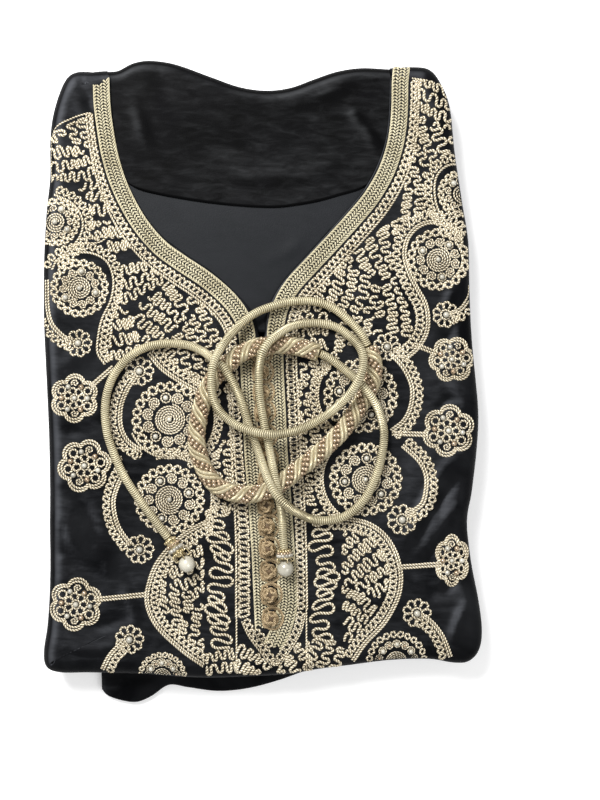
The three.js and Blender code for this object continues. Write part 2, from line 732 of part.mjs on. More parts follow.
// Neck opening seen from above, a little inside the cut edge of the front.
const neckPlan = planOf([
  ...NECK_LEFT_X_Y.map(([x, y]) => new THREE.Vector2(x, y)),
  ...[...NECK_RIGHT_X_Y].reverse().map(([x, y]) => new THREE.Vector2(x, y)),
  new THREE.Vector2(98, 262),
  new THREE.Vector2(-116, 262),
]).offset(-GAP - 0.25, "Miter");
const neckPrism = Manifold.extrude(neckPlan, TALL, 0, 0, [1, 1], false);

function facingWide() {
  const wide = facingSolid();
  return wide.intersect(neckPrism);
}
const facing = largest(facingWide());
add("back_facing", facing, VELVET);

// Satin lining of the back, seen below the facing down to the point of the neck.
function liningSolid() {
  const low = FACING_LOW_X_Y.map(([x, y]) => new THREE.Vector2(x, y - GAP));
  const left = NECK_LEFT_X_Y.slice(6);
  const right = NECK_RIGHT_X_Y.slice(6);
  const columns = NECK_TOP;
  const share = (j) => j / (columns - 1);
  const first = Array.from({ length: columns }, (_, j) => along(low, share(j) * (low.length - 1)));
  const rows = left.map((l, i) => {
    const a = new THREE.Vector2(...l);
    const b = new THREE.Vector2(...right[i]);
    return Array.from({ length: columns }, (_, j) => a.clone().lerp(b, share(j)));
  });
  const bendLeft = new THREE.Vector2(...NECK_LEFT_X_Y[5]).sub(first[0].clone().lerp(rows[0][0], 0.5));
  const bendRight = new THREE.Vector2(...NECK_RIGHT_X_Y[5]).sub(first[columns - 1].clone().lerp(rows[0][columns - 1], 0.5));
  const between = first.map((p, j) => {
    const middle = p.clone().lerp(rows[0][j], 0.5);
    return middle.addScaledVector(bendLeft, (1 - share(j)) ** 4).addScaledVector(bendRight, share(j) ** 4);
  });
  const up = (p, z) => new THREE.Vector3(p.x, p.y, coreTop(p.x, p.y) + GAP + z);
  const rings = [first, between, ...rows].map((row) => [
    ...row.map((p) => up(p, LINING)),
    ...[...row].reverse().map((p) => up(p, 0)),
  ]);
  return skin(rings, false);
}
const lining = largest(liningSolid().intersect(neckPrism));
add("back_lining", lining, SATIN);

const below = (piece) => piece.add(piece.translate([0, 0, -GAP]));
const core = coreSolid().subtract(frontMovedIn).subtract(below(facing)).subtract(below(lining));
add("folded_core", largest(core, LAID_FINEST), VELVET);

// Lower layer of the fold that shows below the front at the left.
const UNDER_X_Y = [
  [-133, -254, -233.5], [-128, -259, -234], [-116, -263, -234.5], [-104, -264, -234.5], [-92, -259, -235], [-78, -250, -235.5],
  [-62, -252, -236.5], [-38, -255, -237.5], [-14, -253, -236.5], [10, -247, -235.5], [30, -240, -233.5], [44, -235, -231],
];
const UNDER_WALL = 2.2;
const underRings = UNDER_X_Y.map(([x, low, high]) => {
  const back = high + 2.9;
  const mid = (low + back) / 2;
  return [
    new THREE.Vector3(x, back, 11.4),
    new THREE.Vector3(x, mid, 9.2),
    new THREE.Vector3(x, low + 1.2, 5.6),
    new THREE.Vector3(x, low, 4.2),
    new THREE.Vector3(x, low + 1.2, 2.8),
    new THREE.Vector3(x, mid, 9.2 - UNDER_WALL),
    new THREE.Vector3(x, back, 11.4 - UNDER_WALL),
  ];
});
add("under_layer", skin(underRings, false), VELVET);

// Knotted ball buttons down the slit.
const BUTTONS_X_Y = [
  [-0.8, 24], [-0.4, 8], [0.2, -8], [1.2, -24], [2.3, -43], [3.2, -61], [4.2, -80], [3.8, -98], [4.4, -115],
  [5, -133], [5.8, -151], [6.4, -170], [7.4, -189],
];
const KNOT_SIDES = 8;
const KNOT_PROFILE = [
  { share: 0.58, rise: 0 },
  { share: 0.6, rise: 0.4 },
  { share: 1, rise: 0.56 },
  { share: 0.56, rise: 0.98 },
];
BUTTONS_X_Y.forEach(([x, y], n) => {
  const foot = clothTop(x, y) + GAP;
  const points = [];
  const faces = [];
  for (const p of KNOT_PROFILE) {
    for (let j = 0; j < KNOT_SIDES; j++) {
      const turn = (2 * Math.PI * j) / KNOT_SIDES;
      const r = (BUTTON / 2) * p.share;
      points.push(x + r * Math.cos(turn), y + r * Math.sin(turn), foot + BUTTON_RISE * p.rise);
    }
  }
  const rows = KNOT_PROFILE.length;
  for (let i = 0; i < rows - 1; i++) {
    for (let j = 0; j < KNOT_SIDES; j++) {
      const k = (j + 1) % KNOT_SIDES;
      const a = i * KNOT_SIDES;
      const b = a + KNOT_SIDES;
      faces.push(a + j, a + k, b + k, a + j, b + k, b + j);
    }
  }
  const low = points.length / 3;
  points.push(x, y, foot, x, y, foot + BUTTON_RISE);
  for (let j = 0; j < KNOT_SIDES; j++) {
    const k = (j + 1) % KNOT_SIDES;
    faces.push(low, k, j);
    faces.push(low + 1, (rows - 1) * KNOT_SIDES + j, (rows - 1) * KNOT_SIDES + k);
  }
  add("button_" + String(n + 1).padStart(2, "0"), solidFrom(points, faces), BRAID);
});

// Cord belt: route of its middle line, laid in loops from one pearl end to the other.
const CORD_A_X_Y_Z = [
  [17.7, -132.5, 45], [16.9, -120.6, 45], [16.2, -107.7, 47], [14.7, -95, 57], [12.5, -83.8, 60.6],
  [10.1, -72.2, 58.5], [6.7, -55.5, 48.5], [4.3, -44.5, 46.7], [1.9, -32.6, 46.6], [-0.5, -18.4, 46.6],
  [-2, -4.9, 46.6], [-1.9, 9.3, 50], [0.7, 21.5, 59.4], [5.5, 30, 60.8], [12.4, 36.5, 57],
  [22.5, 43.3, 47.5], [34.4, 46.4, 42.5], [47.9, 46.4, 41.8], [60.6, 42.8, 42.5], [70.7, 35, 47],
  [77.5, 26.4, 55], [80, 16, 59.5], [77.1, 4.3, 62.8], [70.9, -7.4, 61.5], [62.5, -16.8, 56],
  [51, -26.7, 46], [35.2, -35.8, 44.5], [18.6, -40.8, 51], [3.7, -41.1, 54.8], [-12.8, -37.2, 53.5],
  [-24.7, -30.9, 51], [-33.6, -21.9, 53.5], [-37.9, -10.5, 59.5], [-38.4, 2.7, 63.4],
  [-36.4, 15.1, 63.6], [-30.5, 27.8, 58.5], [-20.2, 41.8, 47], [-6.9, 53.5, 43.5], [9, 60.2, 43.5],
  [25.6, 63.9, 42.2], [41.5, 63.9, 41.8], [56.6, 58.8, 41.8], [70.1, 48, 42.6], [78.8, 38, 44],
  [84, 28.4, 45],
];
const ROPE_X_Y_Z = [
  [84.6, 27.3, 45], [87.9, 18.9, 45], [89, 8.6, 45], [86.3, -3.3, 44.8], [80.3, -14.4, 44.7],
  [72.4, -27.1, 44.7], [63.7, -39, 44.7], [52.6, -50.1, 44.7], [39.9, -61.2, 44.7], [28, -69.8, 46],
  [17.8, -78.3, 49.2], [7.5, -84.6, 49.4], [-4.4, -88.3, 48], [-17.2, -88.9, 45], [-29.9, -85.8, 44.7],
  [-40.2, -77.8, 44.7], [-47.3, -65.1, 44.7], [-51.3, -50.9, 44.7], [-51.3, -36.6, 44.7],
  [-48.9, -23.9, 44.7], [-44.9, -9.6, 44.7], [-37.8, 3, 44.7], [-26.7, 14.5, 45], [-13.9, 23.5, 47.5],
  [-0.4, 28.2, 49.6], [13, 29, 48.8], [24.9, 28.4, 45.5], [36.7, 25.6, 44.7], [45.5, 22.9, 44.7],
];
const CORD_B_X_Y_Z = [
  [46.3, 22.5, 44.7], [53.4, 19, 43], [61.4, 13.4, 42.5], [69.2, 7, 46], [76, 0.5, 52.5],
  [82.1, -6.2, 55.4], [88.5, -15.2, 54.5], [93.5, -25.4, 49], [97.2, -39.8, 42.2], [96, -55.7, 41.8],
  [91.6, -73.2, 41.8], [84.5, -89.1, 41.8], [74.9, -100.7, 41.8], [63.8, -107.8, 41.8],
  [51.1, -110.2, 41.8], [38.3, -108.4, 44], [27.3, -102.1, 56], [18, -94.2, 66.6], [11.1, -86.3, 68.2],
  [6.4, -77.9, 66.8], [1.5, -66, 57.5], [-4, -50.7, 48], [-8.4, -38.9, 46.7], [-12.5, -27.1, 43.5],
  [-17.2, -12.8, 44.5], [-23.1, 0.5, 52], [-29.9, 11.5, 55.9], [-37, 17, 55.2], [-47.2, 24.4, 46],
  [-59.4, 29.3, 42], [-75.4, 30.5, 41.8], [-91.3, 27.7, 41.8], [-105.6, 19.8, 41.8],
  [-116.7, 7.1, 41.8], [-122.7, -7.2, 41.8], [-124.7, -22.4, 41.8], [-123.5, -38.3, 41.8],
  [-119.9, -51, 41.8], [-113.1, -67.7, 41.8], [-104.8, -82.8, 41.8], [-94.4, -97.9, 41.8],
  [-84.1, -111.4, 42], [-74.4, -123.9, 43.5],
];
const CORD_SIDES = 8;

function laidCord(points, diameter, steps) {
  const path = new THREE.CatmullRomCurve3(points.map((p) => new THREE.Vector3(...p)));
  const ring = Array.from({ length: CORD_SIDES }, (_, j) => {
    const turn = (2 * Math.PI * j) / CORD_SIDES;
    return new THREE.Vector2((diameter / 2) * Math.cos(turn), (diameter / 2) * Math.sin(turn));
  });
  return new THREE.ExtrudeGeometry(new THREE.Shape(ring), { steps, extrudePath: path, bevelEnabled: false });
}

function addGeometry(name, geometry, material) {
  const part = new THREE.Mesh(geometry, material);
  part.name = name;
  root.add(part);
}

addGeometry("cord_a", laidCord(CORD_A_X_Y_Z, CORD, 43), BELT);
addGeometry("rope", laidCord(ROPE_X_Y_Z, ROPE, 22), BELT);
addGeometry("cord_b", laidCord(CORD_B_X_Y_Z, CORD, 41), BELT);

// Metal caps on the cord ends and the pearls under them.
const ENDS = [
  { name: "a", from: [17.7, -132.9, 45], pearl: [18.8, -148.2, 44.6] },
  { name: "b", from: [-74.1, -124.3, 43.5], pearl: [-59.4, -144.6, 44.4] },
];
const CAP_PROFILE = [
  { share: 0, reach: 4.3 },
  { share: 0.25, reach: 5.4 },
  { share: 0.6, reach: 5.7 },
  { share: 1, reach: 3.2 },
];
for (const e of ENDS) {
  const start = new THREE.Vector3(...e.from);
  const pearl = new THREE.Vector3(...e.pearl);
  const axis = pearl.clone().sub(start).normalize();
  const stop = pearl.clone().addScaledVector(axis, -PEARL / 2 - GAP);
  const side = new THREE.Vector3(0, 0, 1).cross(axis).normalize();
  const up = axis.clone().cross(side);
  const rings = CAP_PROFILE.map((c) =>
    Array.from({ length: CORD_SIDES }, (_, j) => {
      const turn = (2 * Math.PI * j) / CORD_SIDES;
      const middle = start.clone().lerp(stop, c.share);
      return middle.addScaledVector(side, c.reach * Math.cos(turn)).addScaledVector(up, c.reach * Math.sin(turn));
    }),
  );
  add("cap_" + e.name, skin(rings, false), METAL);
  const ball = new THREE.SphereGeometry(PEARL / 2, 12, 7).translate(pearl.x, pearl.y, pearl.z);
  addGeometry("pearl_" + e.name, ball, NACRE);
}

// The bundle without its belt is centred over the origin.
root.position.set(-0.5, 2.6, 0);

export default root;
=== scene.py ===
"""Velvet kaftan folded to a rectangle, neckline up, with its free cord belt lying on the front.

Lengths below are millimetres; place() turns them into the frame's metres.
"""

import math
import random

import bpy
import numpy as np
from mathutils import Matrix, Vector


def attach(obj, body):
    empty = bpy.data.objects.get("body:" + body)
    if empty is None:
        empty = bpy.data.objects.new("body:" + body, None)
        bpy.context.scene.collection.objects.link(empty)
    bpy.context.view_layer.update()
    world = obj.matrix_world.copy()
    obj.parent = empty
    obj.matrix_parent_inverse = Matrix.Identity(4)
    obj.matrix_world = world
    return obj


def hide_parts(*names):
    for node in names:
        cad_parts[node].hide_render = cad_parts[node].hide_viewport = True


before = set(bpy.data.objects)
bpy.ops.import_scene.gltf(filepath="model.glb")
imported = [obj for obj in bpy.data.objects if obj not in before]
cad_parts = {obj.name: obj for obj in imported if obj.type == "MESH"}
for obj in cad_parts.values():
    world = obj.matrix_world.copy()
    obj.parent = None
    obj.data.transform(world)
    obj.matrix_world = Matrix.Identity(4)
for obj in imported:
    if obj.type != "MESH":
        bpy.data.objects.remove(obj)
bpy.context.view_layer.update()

# Where the bundle's own middle lies in the frame.
SHIFT = np.array([-0.5, 2.6, 0.0])


def place(points):
    return (np.asarray(points, float) + SHIFT) * 0.001


# Camera straight above the front, one metre over the floor.
CAMERA_X = 29.9
CAMERA_Y = -11.8
CAMERA_HEIGHT = 1000.0
LENS = 54.2
camera_data = bpy.data.cameras.new("camera")
camera_data.lens = LENS
camera_data.sensor_width = 36.0
camera_data.clip_start = 0.01
camera = bpy.data.objects.new("camera", camera_data)
camera.location = (CAMERA_X * 0.001, CAMERA_Y * 0.001, CAMERA_HEIGHT * 0.001)
bpy.context.scene.collection.objects.link(camera)
bpy.context.scene.camera = camera

# Sizes of the cloth, the trims and the belt, as the part has them.
TOP = 35.0
SEAT = 20.9
EDGE = 11.0
ROLL_DROP = 8.4
CLOTH = 1.4
TRIM_WIDTH = 12.9
SLIT = 2.4
CORD = 7.0
ROPE = 13.0
PEARL = 13.2

# Outlines in the plan, clockwise from the top of the right trim.
EDGE_X_Y = [
    (103, 252), (120, 253), (134, 251), (143, 240), (150, 221), (154, 185), (160, 145), (165, 113),
    (166, 73), (168, 33), (171, 1), (173, -25), (172, -50), (168, -87), (164, -111), (167, -143),
    (173, -175), (176, -199), (174, -215), (166, -224), (154, -225), (134, -222), (102, -223), (70, -227),
    (46, -230), (22, -234), (-10, -236), (-50, -237), (-98, -234), (-138, -233), (-162, -233),
    (-173, -229), (-175, -217), (-172, -195),
    (-170, -160), (-170, -127), (-170, -79), (-171, -39), (-173, 5), (-175, 49), (-175, 96), (-173, 136),
    (-170, 165), (-170, 193), (-168, 213), (-163, 231), (-157, 244), (-149, 249), (-136, 249), (-125, 250),
]
NECK_TOP_X_Y = [
    (-116, 251), (-104, 257), (-90, 259), (-70, 256), (-42, 246), (-19, 238), (2, 235), (22, 237),
    (42, 244), (60, 250), (80, 253),
]
NECK_LEFT_X_Y = [
    (-121.5, 244), (-121, 226), (-119, 206), (-116, 186), (-108, 160), (-94, 134), (-78, 115), (-61, 102),
    (-42, 89.5), (-26, 76), (-13, 63), (-6, 52), (-3.4, 40),
]
NECK_RIGHT_X_Y = [
    (102.5, 244), (102, 226), (101, 208), (98, 190), (91, 171), (80, 152), (66, 135), (50, 117),
    (32, 97.5), (17, 81), (7.5, 66), (3.5, 54), (2.4, 40),
]
SLIT_X_Y = [
    (-0.4, 32), (-0.2, 8), (0.6, -16), (1.6, -42), (3.6, -70), (5.8, -98), (7.8, -126), (9.8, -154),
    (11.4, -180), (12.6, -204),
]
FACING_LOW_X_Y = [
    (-109, 160), (-98, 154), (-82, 150), (-66, 147), (-50, 144.5), (-34, 142.5), (-18, 141), (-2, 140),
    (14, 140), (30, 142), (46, 145), (62, 149.5), (76, 153.5), (84, 157.5),
]
# Broad swells of the cloth: x, y, reach along, reach across, turn and rise.
FOLDS = [
    (144, -66, 64, 26, 1.15, 1.7), (150, -112, 50, 24, 1.3, -1.5), (118, -122, 50, 28, 0.85, 1.0),
    (146, 52, 60, 30, 1.45, -1.3), (-150, -104, 60, 30, 1.7, 1.4), (-128, -152, 56, 28, 0.35, -1.2),
    (-112, 34, 52, 30, 0.7, -1.1), (152, 215, 40, 30, 1.4, 1.0), (-10, 178, 92, 46, 0.05, -2.0),
]
# Creases of the velvet: route, half width and height.
CREASES = [
    ([(171, -56), (158, -60), (146, -70), (133, -92), (124, -112), (113, -130)], 4.4, 2.0),
    ([(173, -70), (160, -76), (147, -90), (135, -112), (122, -130)], 3.6, -1.7),
    ([(174, -88), (160, -96), (146, -112), (134, -130), (120, -142)], 4.4, 1.7),
    ([(170, -112), (156, -118), (142, -130), (128, -146)], 3.6, -1.3),
    ([(143, -97), (137, -112), (131, -126)], 3.0, 1.2),
    ([(172, -160), (165, -176), (158, -190), (151, -212)], 4.0, 1.9),
    ([(177, -186), (170, -200), (163, -216)], 3.4, -1.5),
    ([(134, -169), (146, -167), (160, -158)], 3.4, -1.2),
    ([(120, -156), (134, -160), (148, -170)], 3.4, 1.0),
    ([(168, -24), (156, -6), (142, 0), (132, 4)], 3.4, 1.3),
    ([(165, -14), (150, -14), (138, -24)], 3.0, -1.0),
    ([(165, 62), (150, 38), (138, 12)], 4.6, -1.2),
    ([(160, 92), (150, 66), (141, 44)], 3.8, 1.0),
    ([(-172, -100), (-158, -112), (-150, -128), (-134, -142), (-114, -150)], 4.6, 1.9),
    ([(-168, -84), (-150, -92), (-138, -108), (-130, -124)], 4.2, -1.6),
    ([(-173, -124), (-160, -136), (-144, -146), (-128, -152)], 4.0, -1.3),
    ([(-172, -60), (-164, -78), (-154, -88)], 4.0, 1.2),
    ([(-138, -132), (-126, -142), (-120, -156)], 3.6, 1.1),
    ([(-172, -150), (-158, -158), (-140, -158)], 4.0, 1.0),
    ([(-112, -164), (-104, -180), (-100, -196)], 3.6, 1.0),
    ([(-170, -44), (-152, -40), (-128, -34), (-116, -22)], 5.5, -0.9),
    ([(-171, 8), (-154, 16), (-136, 30), (-126, 44)], 5.0, 1.1),
    ([(-172, -206), (-150, -212), (-130, -214), (-112, -208)], 4.6, 1.1),
    ([(-160, -190), (-136, -196), (-112, -190), (-98, -182)], 5.0, -0.9),
    ([(-166, 232), (-150, 226), (-138, 206), (-134, 188)], 5.0, 0.8),
    ([(-150, 246), (-142, 232), (-136, 214)], 4.0, -0.7),
    ([(128, 248), (134, 230), (146, 214)], 4.0, 0.6),
    ([(70, 219), (82, 203), (95, 186)], 4.0, 1.3),
    ([(-104, 228), (-96, 204), (-88, 186)], 5.0, 1.0),
    ([(-86, 252), (-70, 214), (-40, 190), (0, 184)], 8.0, -0.9),
    ([(92, 236), (70, 240), (44, 228), (12, 222)], 6.0, 0.8),
    ([(-52, 172), (-10, 164), (40, 168), (66, 178)], 7.0, 0.7),
    ([(36, 118), (20, 104), (2, 98)], 6.0, 0.4),
]


# Curves in the plan.
def cubic(a, b, c, d, f):
    """Place between b and c on a smooth curve through the four points."""
    bend = 2 * a - 5 * b + 4 * c - d
    twist = 3 * b - a - 3 * c + d
    return 0.5 * (2 * b + (c - a) * f + bend * f**2 + twist * f**3)


def spline(points, count, closed=False):
    """Smooth line through the points, resampled to even steps."""
    p = np.asarray(points, float)
    if closed:
        p = np.vstack([p[-1:], p, p[:2]])
    else:
        p = np.vstack([2 * p[0] - p[1], p, 2 * p[-1] - p[-2]])
    parts = []
    f = np.linspace(0, 1, 12, endpoint=False)[:, None]
    for a, b, c, d in zip(p[:-3], p[1:-2], p[2:-1], p[3:]):
        parts.append(cubic(a, b, c, d, f))
    dense = np.vstack(parts + [p[-2:-1]])
    return even(dense, count)


def lengths(line):
    step = np.linalg.norm(np.diff(line, axis=0), axis=1)
    return np.concatenate([[0], np.cumsum(step)])


def along(line, gone, at):
    """Points of a line at given lengths, where gone holds the length at each of its own points."""
    return np.stack([np.interp(at, gone, line[:, k]) for k in range(line.shape[1])], -1)


def even(line, count):
    gone = lengths(line)
    return along(line, gone, np.linspace(0, gone[-1], count))


def by_step(line, step):
    return even(line, max(3, int(lengths(line)[-1] / step) + 1))


def sides_of(line):
    """Unit direction and left-hand side of a plan line at each of its points."""
    run = np.gradient(line, axis=0)
    run /= np.maximum(np.linalg.norm(run, axis=1, keepdims=True), 1e-9)
    return run, np.stack([-run[:, 1], run[:, 0]], 1)


def offset(line, away):
    return line + sides_of(line)[1] * away


def circle(at, radius, count=28, start=0.0, sweep=2 * math.pi):
    turn = start + np.linspace(0, sweep, count)
    return np.stack([at[0] + radius * np.cos(turn), at[1] + radius * np.sin(turn)], 1)


def coil(at, inner, outer, pitch, start=0.0):
    turns = (outer - inner) / pitch
    turn = np.linspace(0, 2 * math.pi * turns, max(12, int(18 * turns)))
    radius = inner + pitch * turn / (2 * math.pi)
    return np.stack([at[0] + radius * np.cos(turn + start), at[1] + radius * np.sin(turn + start)], 1)


OUTLINE = spline(EDGE_X_Y + NECK_TOP_X_Y, 900, closed=True)[:-1]

# Height of the cloth over the plan, on a grid.
GRID = 1.0
LOW_X = -205.0
LOW_Y = -280.0
COLUMNS = 410
ROWS = 560
GX, GY = np.meshgrid(LOW_X + GRID * np.arange(COLUMNS), LOW_Y + GRID * np.arange(ROWS))


def swell(x, y):
    """Height of the cloth before its creases."""
    z = np.full(np.shape(x), TOP)
    for cx, cy, reach, across, turn, rise in FOLDS:
        dx = x - cx
        dy = y - cy
        a = (dx * math.cos(turn) + dy * math.sin(turn)) / reach
        b = (dy * math.cos(turn) - dx * math.sin(turn)) / across
        z = z + rise * np.exp(-a * a - b * b)
    return z


def near_line(x, y, line):
    """Distance to a polyline and the share of its length at the nearest point."""
    best = np.full(x.shape, 1e9)
    share = np.zeros(x.shape)
    run = lengths(line)
    for i in range(len(line) - 1):
        a = line[i]
        e = line[i + 1] - a
        size = e @ e
        f = np.clip(((x - a[0]) * e[0] + (y - a[1]) * e[1]) / size, 0, 1)
        away = np.hypot(x - a[0] - f * e[0], y - a[1] - f * e[1])
        closer = away < best
        best = np.where(closer, away, best)
        share = np.where(closer, (run[i] + f * (run[i + 1] - run[i])) / run[-1], share)
    return best, share


def inside_of(x, y, loop):
    """Which places lie inside a closed shape."""
    inside = np.zeros(np.shape(x), bool)
    n = len(loop)
    for i in range(n):
        ax, ay = loop[i]
        bx, by = loop[(i + 1) % n]
        if ay == by:
            continue
        inside ^= ((ay > y) != (by > y)) & (x < ax + (y - ay) / (by - ay) * (bx - ax))
    return inside


def creased(x, y):
    z = swell(x, y)
    for route, width, rise in CREASES:
        line = spline(route, 16)
        away, share = near_line(x, y, line)
        fade = np.sin(np.pi * np.clip(share, 0.02, 0.98)) ** 0.7
        uneven = 1 + 0.25 * np.sin(share * 9 + line[0, 0])
        z = z + rise * fade * uneven * np.exp(-((away / width) ** 2))
    return z


coarse_outline = OUTLINE[::4]
AWAY, _ = near_line(GX, GY, np.vstack([coarse_outline, coarse_outline[:1]]))
INSET = np.where(inside_of(GX, GY, coarse_outline), AWAY, -AWAY)
FLAT = creased(GX, GY)
ROUND = np.clip(INSET / EDGE, 0, 1)
DROP = ROLL_DROP * (1 - np.sqrt(np.clip(1 - (1 - ROUND) ** 2, 0, 1)))
GROUND = SEAT + (FLAT - SEAT) * (1 - DROP / (TOP - SEAT))


def read(field, x, y):
    """Values of a field of the grid at places in the plan."""
    fx = np.clip((np.asarray(x, float) - LOW_X) / GRID, 0, COLUMNS - 1.001)
    fy = np.clip((np.asarray(y, float) - LOW_Y) / GRID, 0, ROWS - 1.001)
    i = fx.astype(int)
    j = fy.astype(int)
    u = fx - i
    v = fy - j
    low = field[j, i] * (1 - u) + field[j, i + 1] * u
    high = field[j + 1, i] * (1 - u) + field[j + 1, i + 1] * u
    return low * (1 - v) + high * v


SLOPE_Y, SLOPE_X = np.gradient(GROUND, GRID)


def on_cloth(plan, lift):
    """Points of a plan line, lifted off the cloth along its own slope."""
    x = plan[:, 0]
    y = plan[:, 1]
    normal = np.stack([-read(SLOPE_X, x, y), -read(SLOPE_Y, x, y), np.ones(len(x))], 1)
    normal[:, :2] = np.clip(normal[:, :2], -1.6, 1.6)
    normal /= np.linalg.norm(normal, axis=1, keepdims=True)
    height = np.stack([x, y, read(GROUND, x, y)], 1)
    return height + normal * np.reshape(lift, (-1, 1))


# Meshes from arrays.
def quads_of(rows, columns, turned=False):
    """Faces between neighbouring rows of points, turned over if asked."""
    i = np.arange(rows - 1)[:, None] * columns
    j = np.arange(columns - 1)[None]
    corners = [i + j, i + j + 1, i + columns + j + 1, i + columns + j]
    if turned:
        corners = corners[:1] + corners[:0:-1]
    return np.stack(corners, -1).reshape(-1, 4)


def closing_quads(sides):
    """Faces across a ring of points."""
    return np.array([[a, a + 1, sides - 2 - a, sides - 1 - a] for a in range((sides - 2) // 2)])


def mesh_of(name, verts, quads, uvs, materials, slots):
    mesh = bpy.data.meshes.new(name)
    verts = np.asarray(verts, np.float64)
    quads = np.asarray(quads, np.int32)
    mesh.vertices.add(len(verts))
    mesh.vertices.foreach_set("co", verts.ravel())
    mesh.loops.add(quads.size)
    mesh.loops.foreach_set("vertex_index", quads.ravel())
    mesh.polygons.add(len(quads))
    mesh.polygons.foreach_set("loop_start", np.arange(0, quads.size, 4, dtype=np.int32))
    layer = mesh.uv_layers.new(name="along_around")
    layer.data.foreach_set("uv", np.asarray(uvs, np.float64).ravel())
    for material in materials:
        mesh.materials.append(material)
    mesh.polygons.foreach_set("material_index", np.asarray(slots, np.int32))
    mesh.update(calc_edges=True)
    mesh.validate()
    mesh.polygons.foreach_set("use_smooth", np.full(len(mesh.polygons), True))
    piece = bpy.data.objects.new(name, mesh)
    bpy.context.scene.collection.objects.link(piece)
    return piece


class Parts:
    """Gathers pieces of mesh that are joined into one object."""

    def __init__(self):
        self.verts = []
        self.quads = []
        self.uvs = []
        self.slots = []
        self.count = 0

    def add(self, verts, quads, uvs, slot=0):
        self.verts.append(verts)
        self.quads.append(quads + self.count)
        self.uvs.append(uvs)
        self.slots.append(np.full(len(quads), slot))
        self.count += len(verts)

    def add_rows(self, rows, turned=False):
        """Surface through rows of points of equal count."""
        rows = np.asarray(rows)
        quads = quads_of(*rows.shape[:2], turned)
        verts = rows.reshape(-1, 3)
        self.add(verts, quads, verts[quads][:, :, :2])

    def tube(self, line, radius, sides=6, slot=0):
        """Round cord along a line; radius may change from ring to ring."""
        p = np.asarray(line, float)
        n = len(p)
        run = np.gradient(p, axis=0)
        run /= np.maximum(np.linalg.norm(run, axis=1, keepdims=True), 1e-9)
        side = np.stack([run[:, 1], -run[:, 0], np.zeros(n)], 1)
        side /= np.maximum(np.linalg.norm(side, axis=1, keepdims=True), 1e-9)
        up = np.cross(side, run)
        turn = 2 * np.pi * np.arange(sides) / sides - np.pi / 2
        r = np.broadcast_to(np.asarray(radius, float), (n,))[:, None, None]
        ring = np.cos(turn)[None, :, None] * side[:, None] + np.sin(turn)[None, :, None] * up[:, None]
        verts = (p[:, None] + r * ring).reshape(-1, 3)
        i = np.arange(n - 1)[:, None] * sides
        j = np.arange(sides)[None, :]
        k = (j + 1) % sides
        quads = np.stack([i + j, i + sides + j, i + sides + k, i + k], -1).reshape(-1, 4)
        gone = lengths(p)
        u0 = np.repeat(gone[:-1], sides)
        u1 = np.repeat(gone[1:], sides)
        v0 = np.tile(np.arange(sides) / sides, n - 1)
        v1 = v0 + 1 / sides
        uvs = np.stack([u0, v0, u1, v0, u1, v1, u0, v1], -1).reshape(-1, 4, 2)
        caps = closing_quads(sides)
        last = (n - 1) * sides
        ends = np.vstack([caps, caps[:, ::-1] + last])
        quads = np.vstack([quads, ends])
        uvs = np.concatenate([uvs, np.zeros((len(ends), 4, 2))])
        self.add(verts, quads, uvs, slot)

    def ball(self, at, radius, squash=1.0, around=8, rows=5, slot=0):
        """Small round bead."""
        lat = np.linspace(-np.pi / 2, np.pi / 2, rows + 1)
        lat[0] += 0.12
        lat[-1] -= 0.12
        turn = 2 * np.pi * np.arange(around) / around
        x = np.cos(lat)[:, None] * np.cos(turn)[None]
        y = np.cos(lat)[:, None] * np.sin(turn)[None]
        z = np.repeat(np.sin(lat)[:, None], around, 1) * squash
        verts = np.asarray(at) + radius * np.stack([x, y, z], -1).reshape(-1, 3)
        i = np.arange(rows)[:, None] * around
        j = np.arange(around)[None]
        k = (j + 1) % around
        quads = np.stack([i + j, i + k, i + around + k, i + around + j], -1).reshape(-1, 4)
        caps = closing_quads(around)
        quads = np.vstack([quads, caps[:, ::-1], caps + rows * around])
        uvs = np.zeros((len(quads), 4, 2))
        self.add(verts, quads, uvs, slot)

    def build(self, name, materials):
        return mesh_of(
            name, place(np.vstack(self.verts)), np.vstack(self.quads), np.concatenate(self.uvs), materials,
            np.concatenate(self.slots),
        )


def thicken(piece, thickness, offset):
    wall = piece.modifiers.new("wall", "SOLIDIFY")
    wall.thickness = thickness * 0.001
    wall.offset = offset
    return piece


def cloth_of(name, rows, material, thickness):
    """Cloth from rows of points of equal count, its wall under them."""
    parts = Parts()
    parts.add_rows(rows)
    return thicken(parts.build(name, [material]), thickness, -1)


def declare(piece, slot, *nodes):
    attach(piece, "root")
    if nodes:
        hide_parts(*nodes)
    return piece


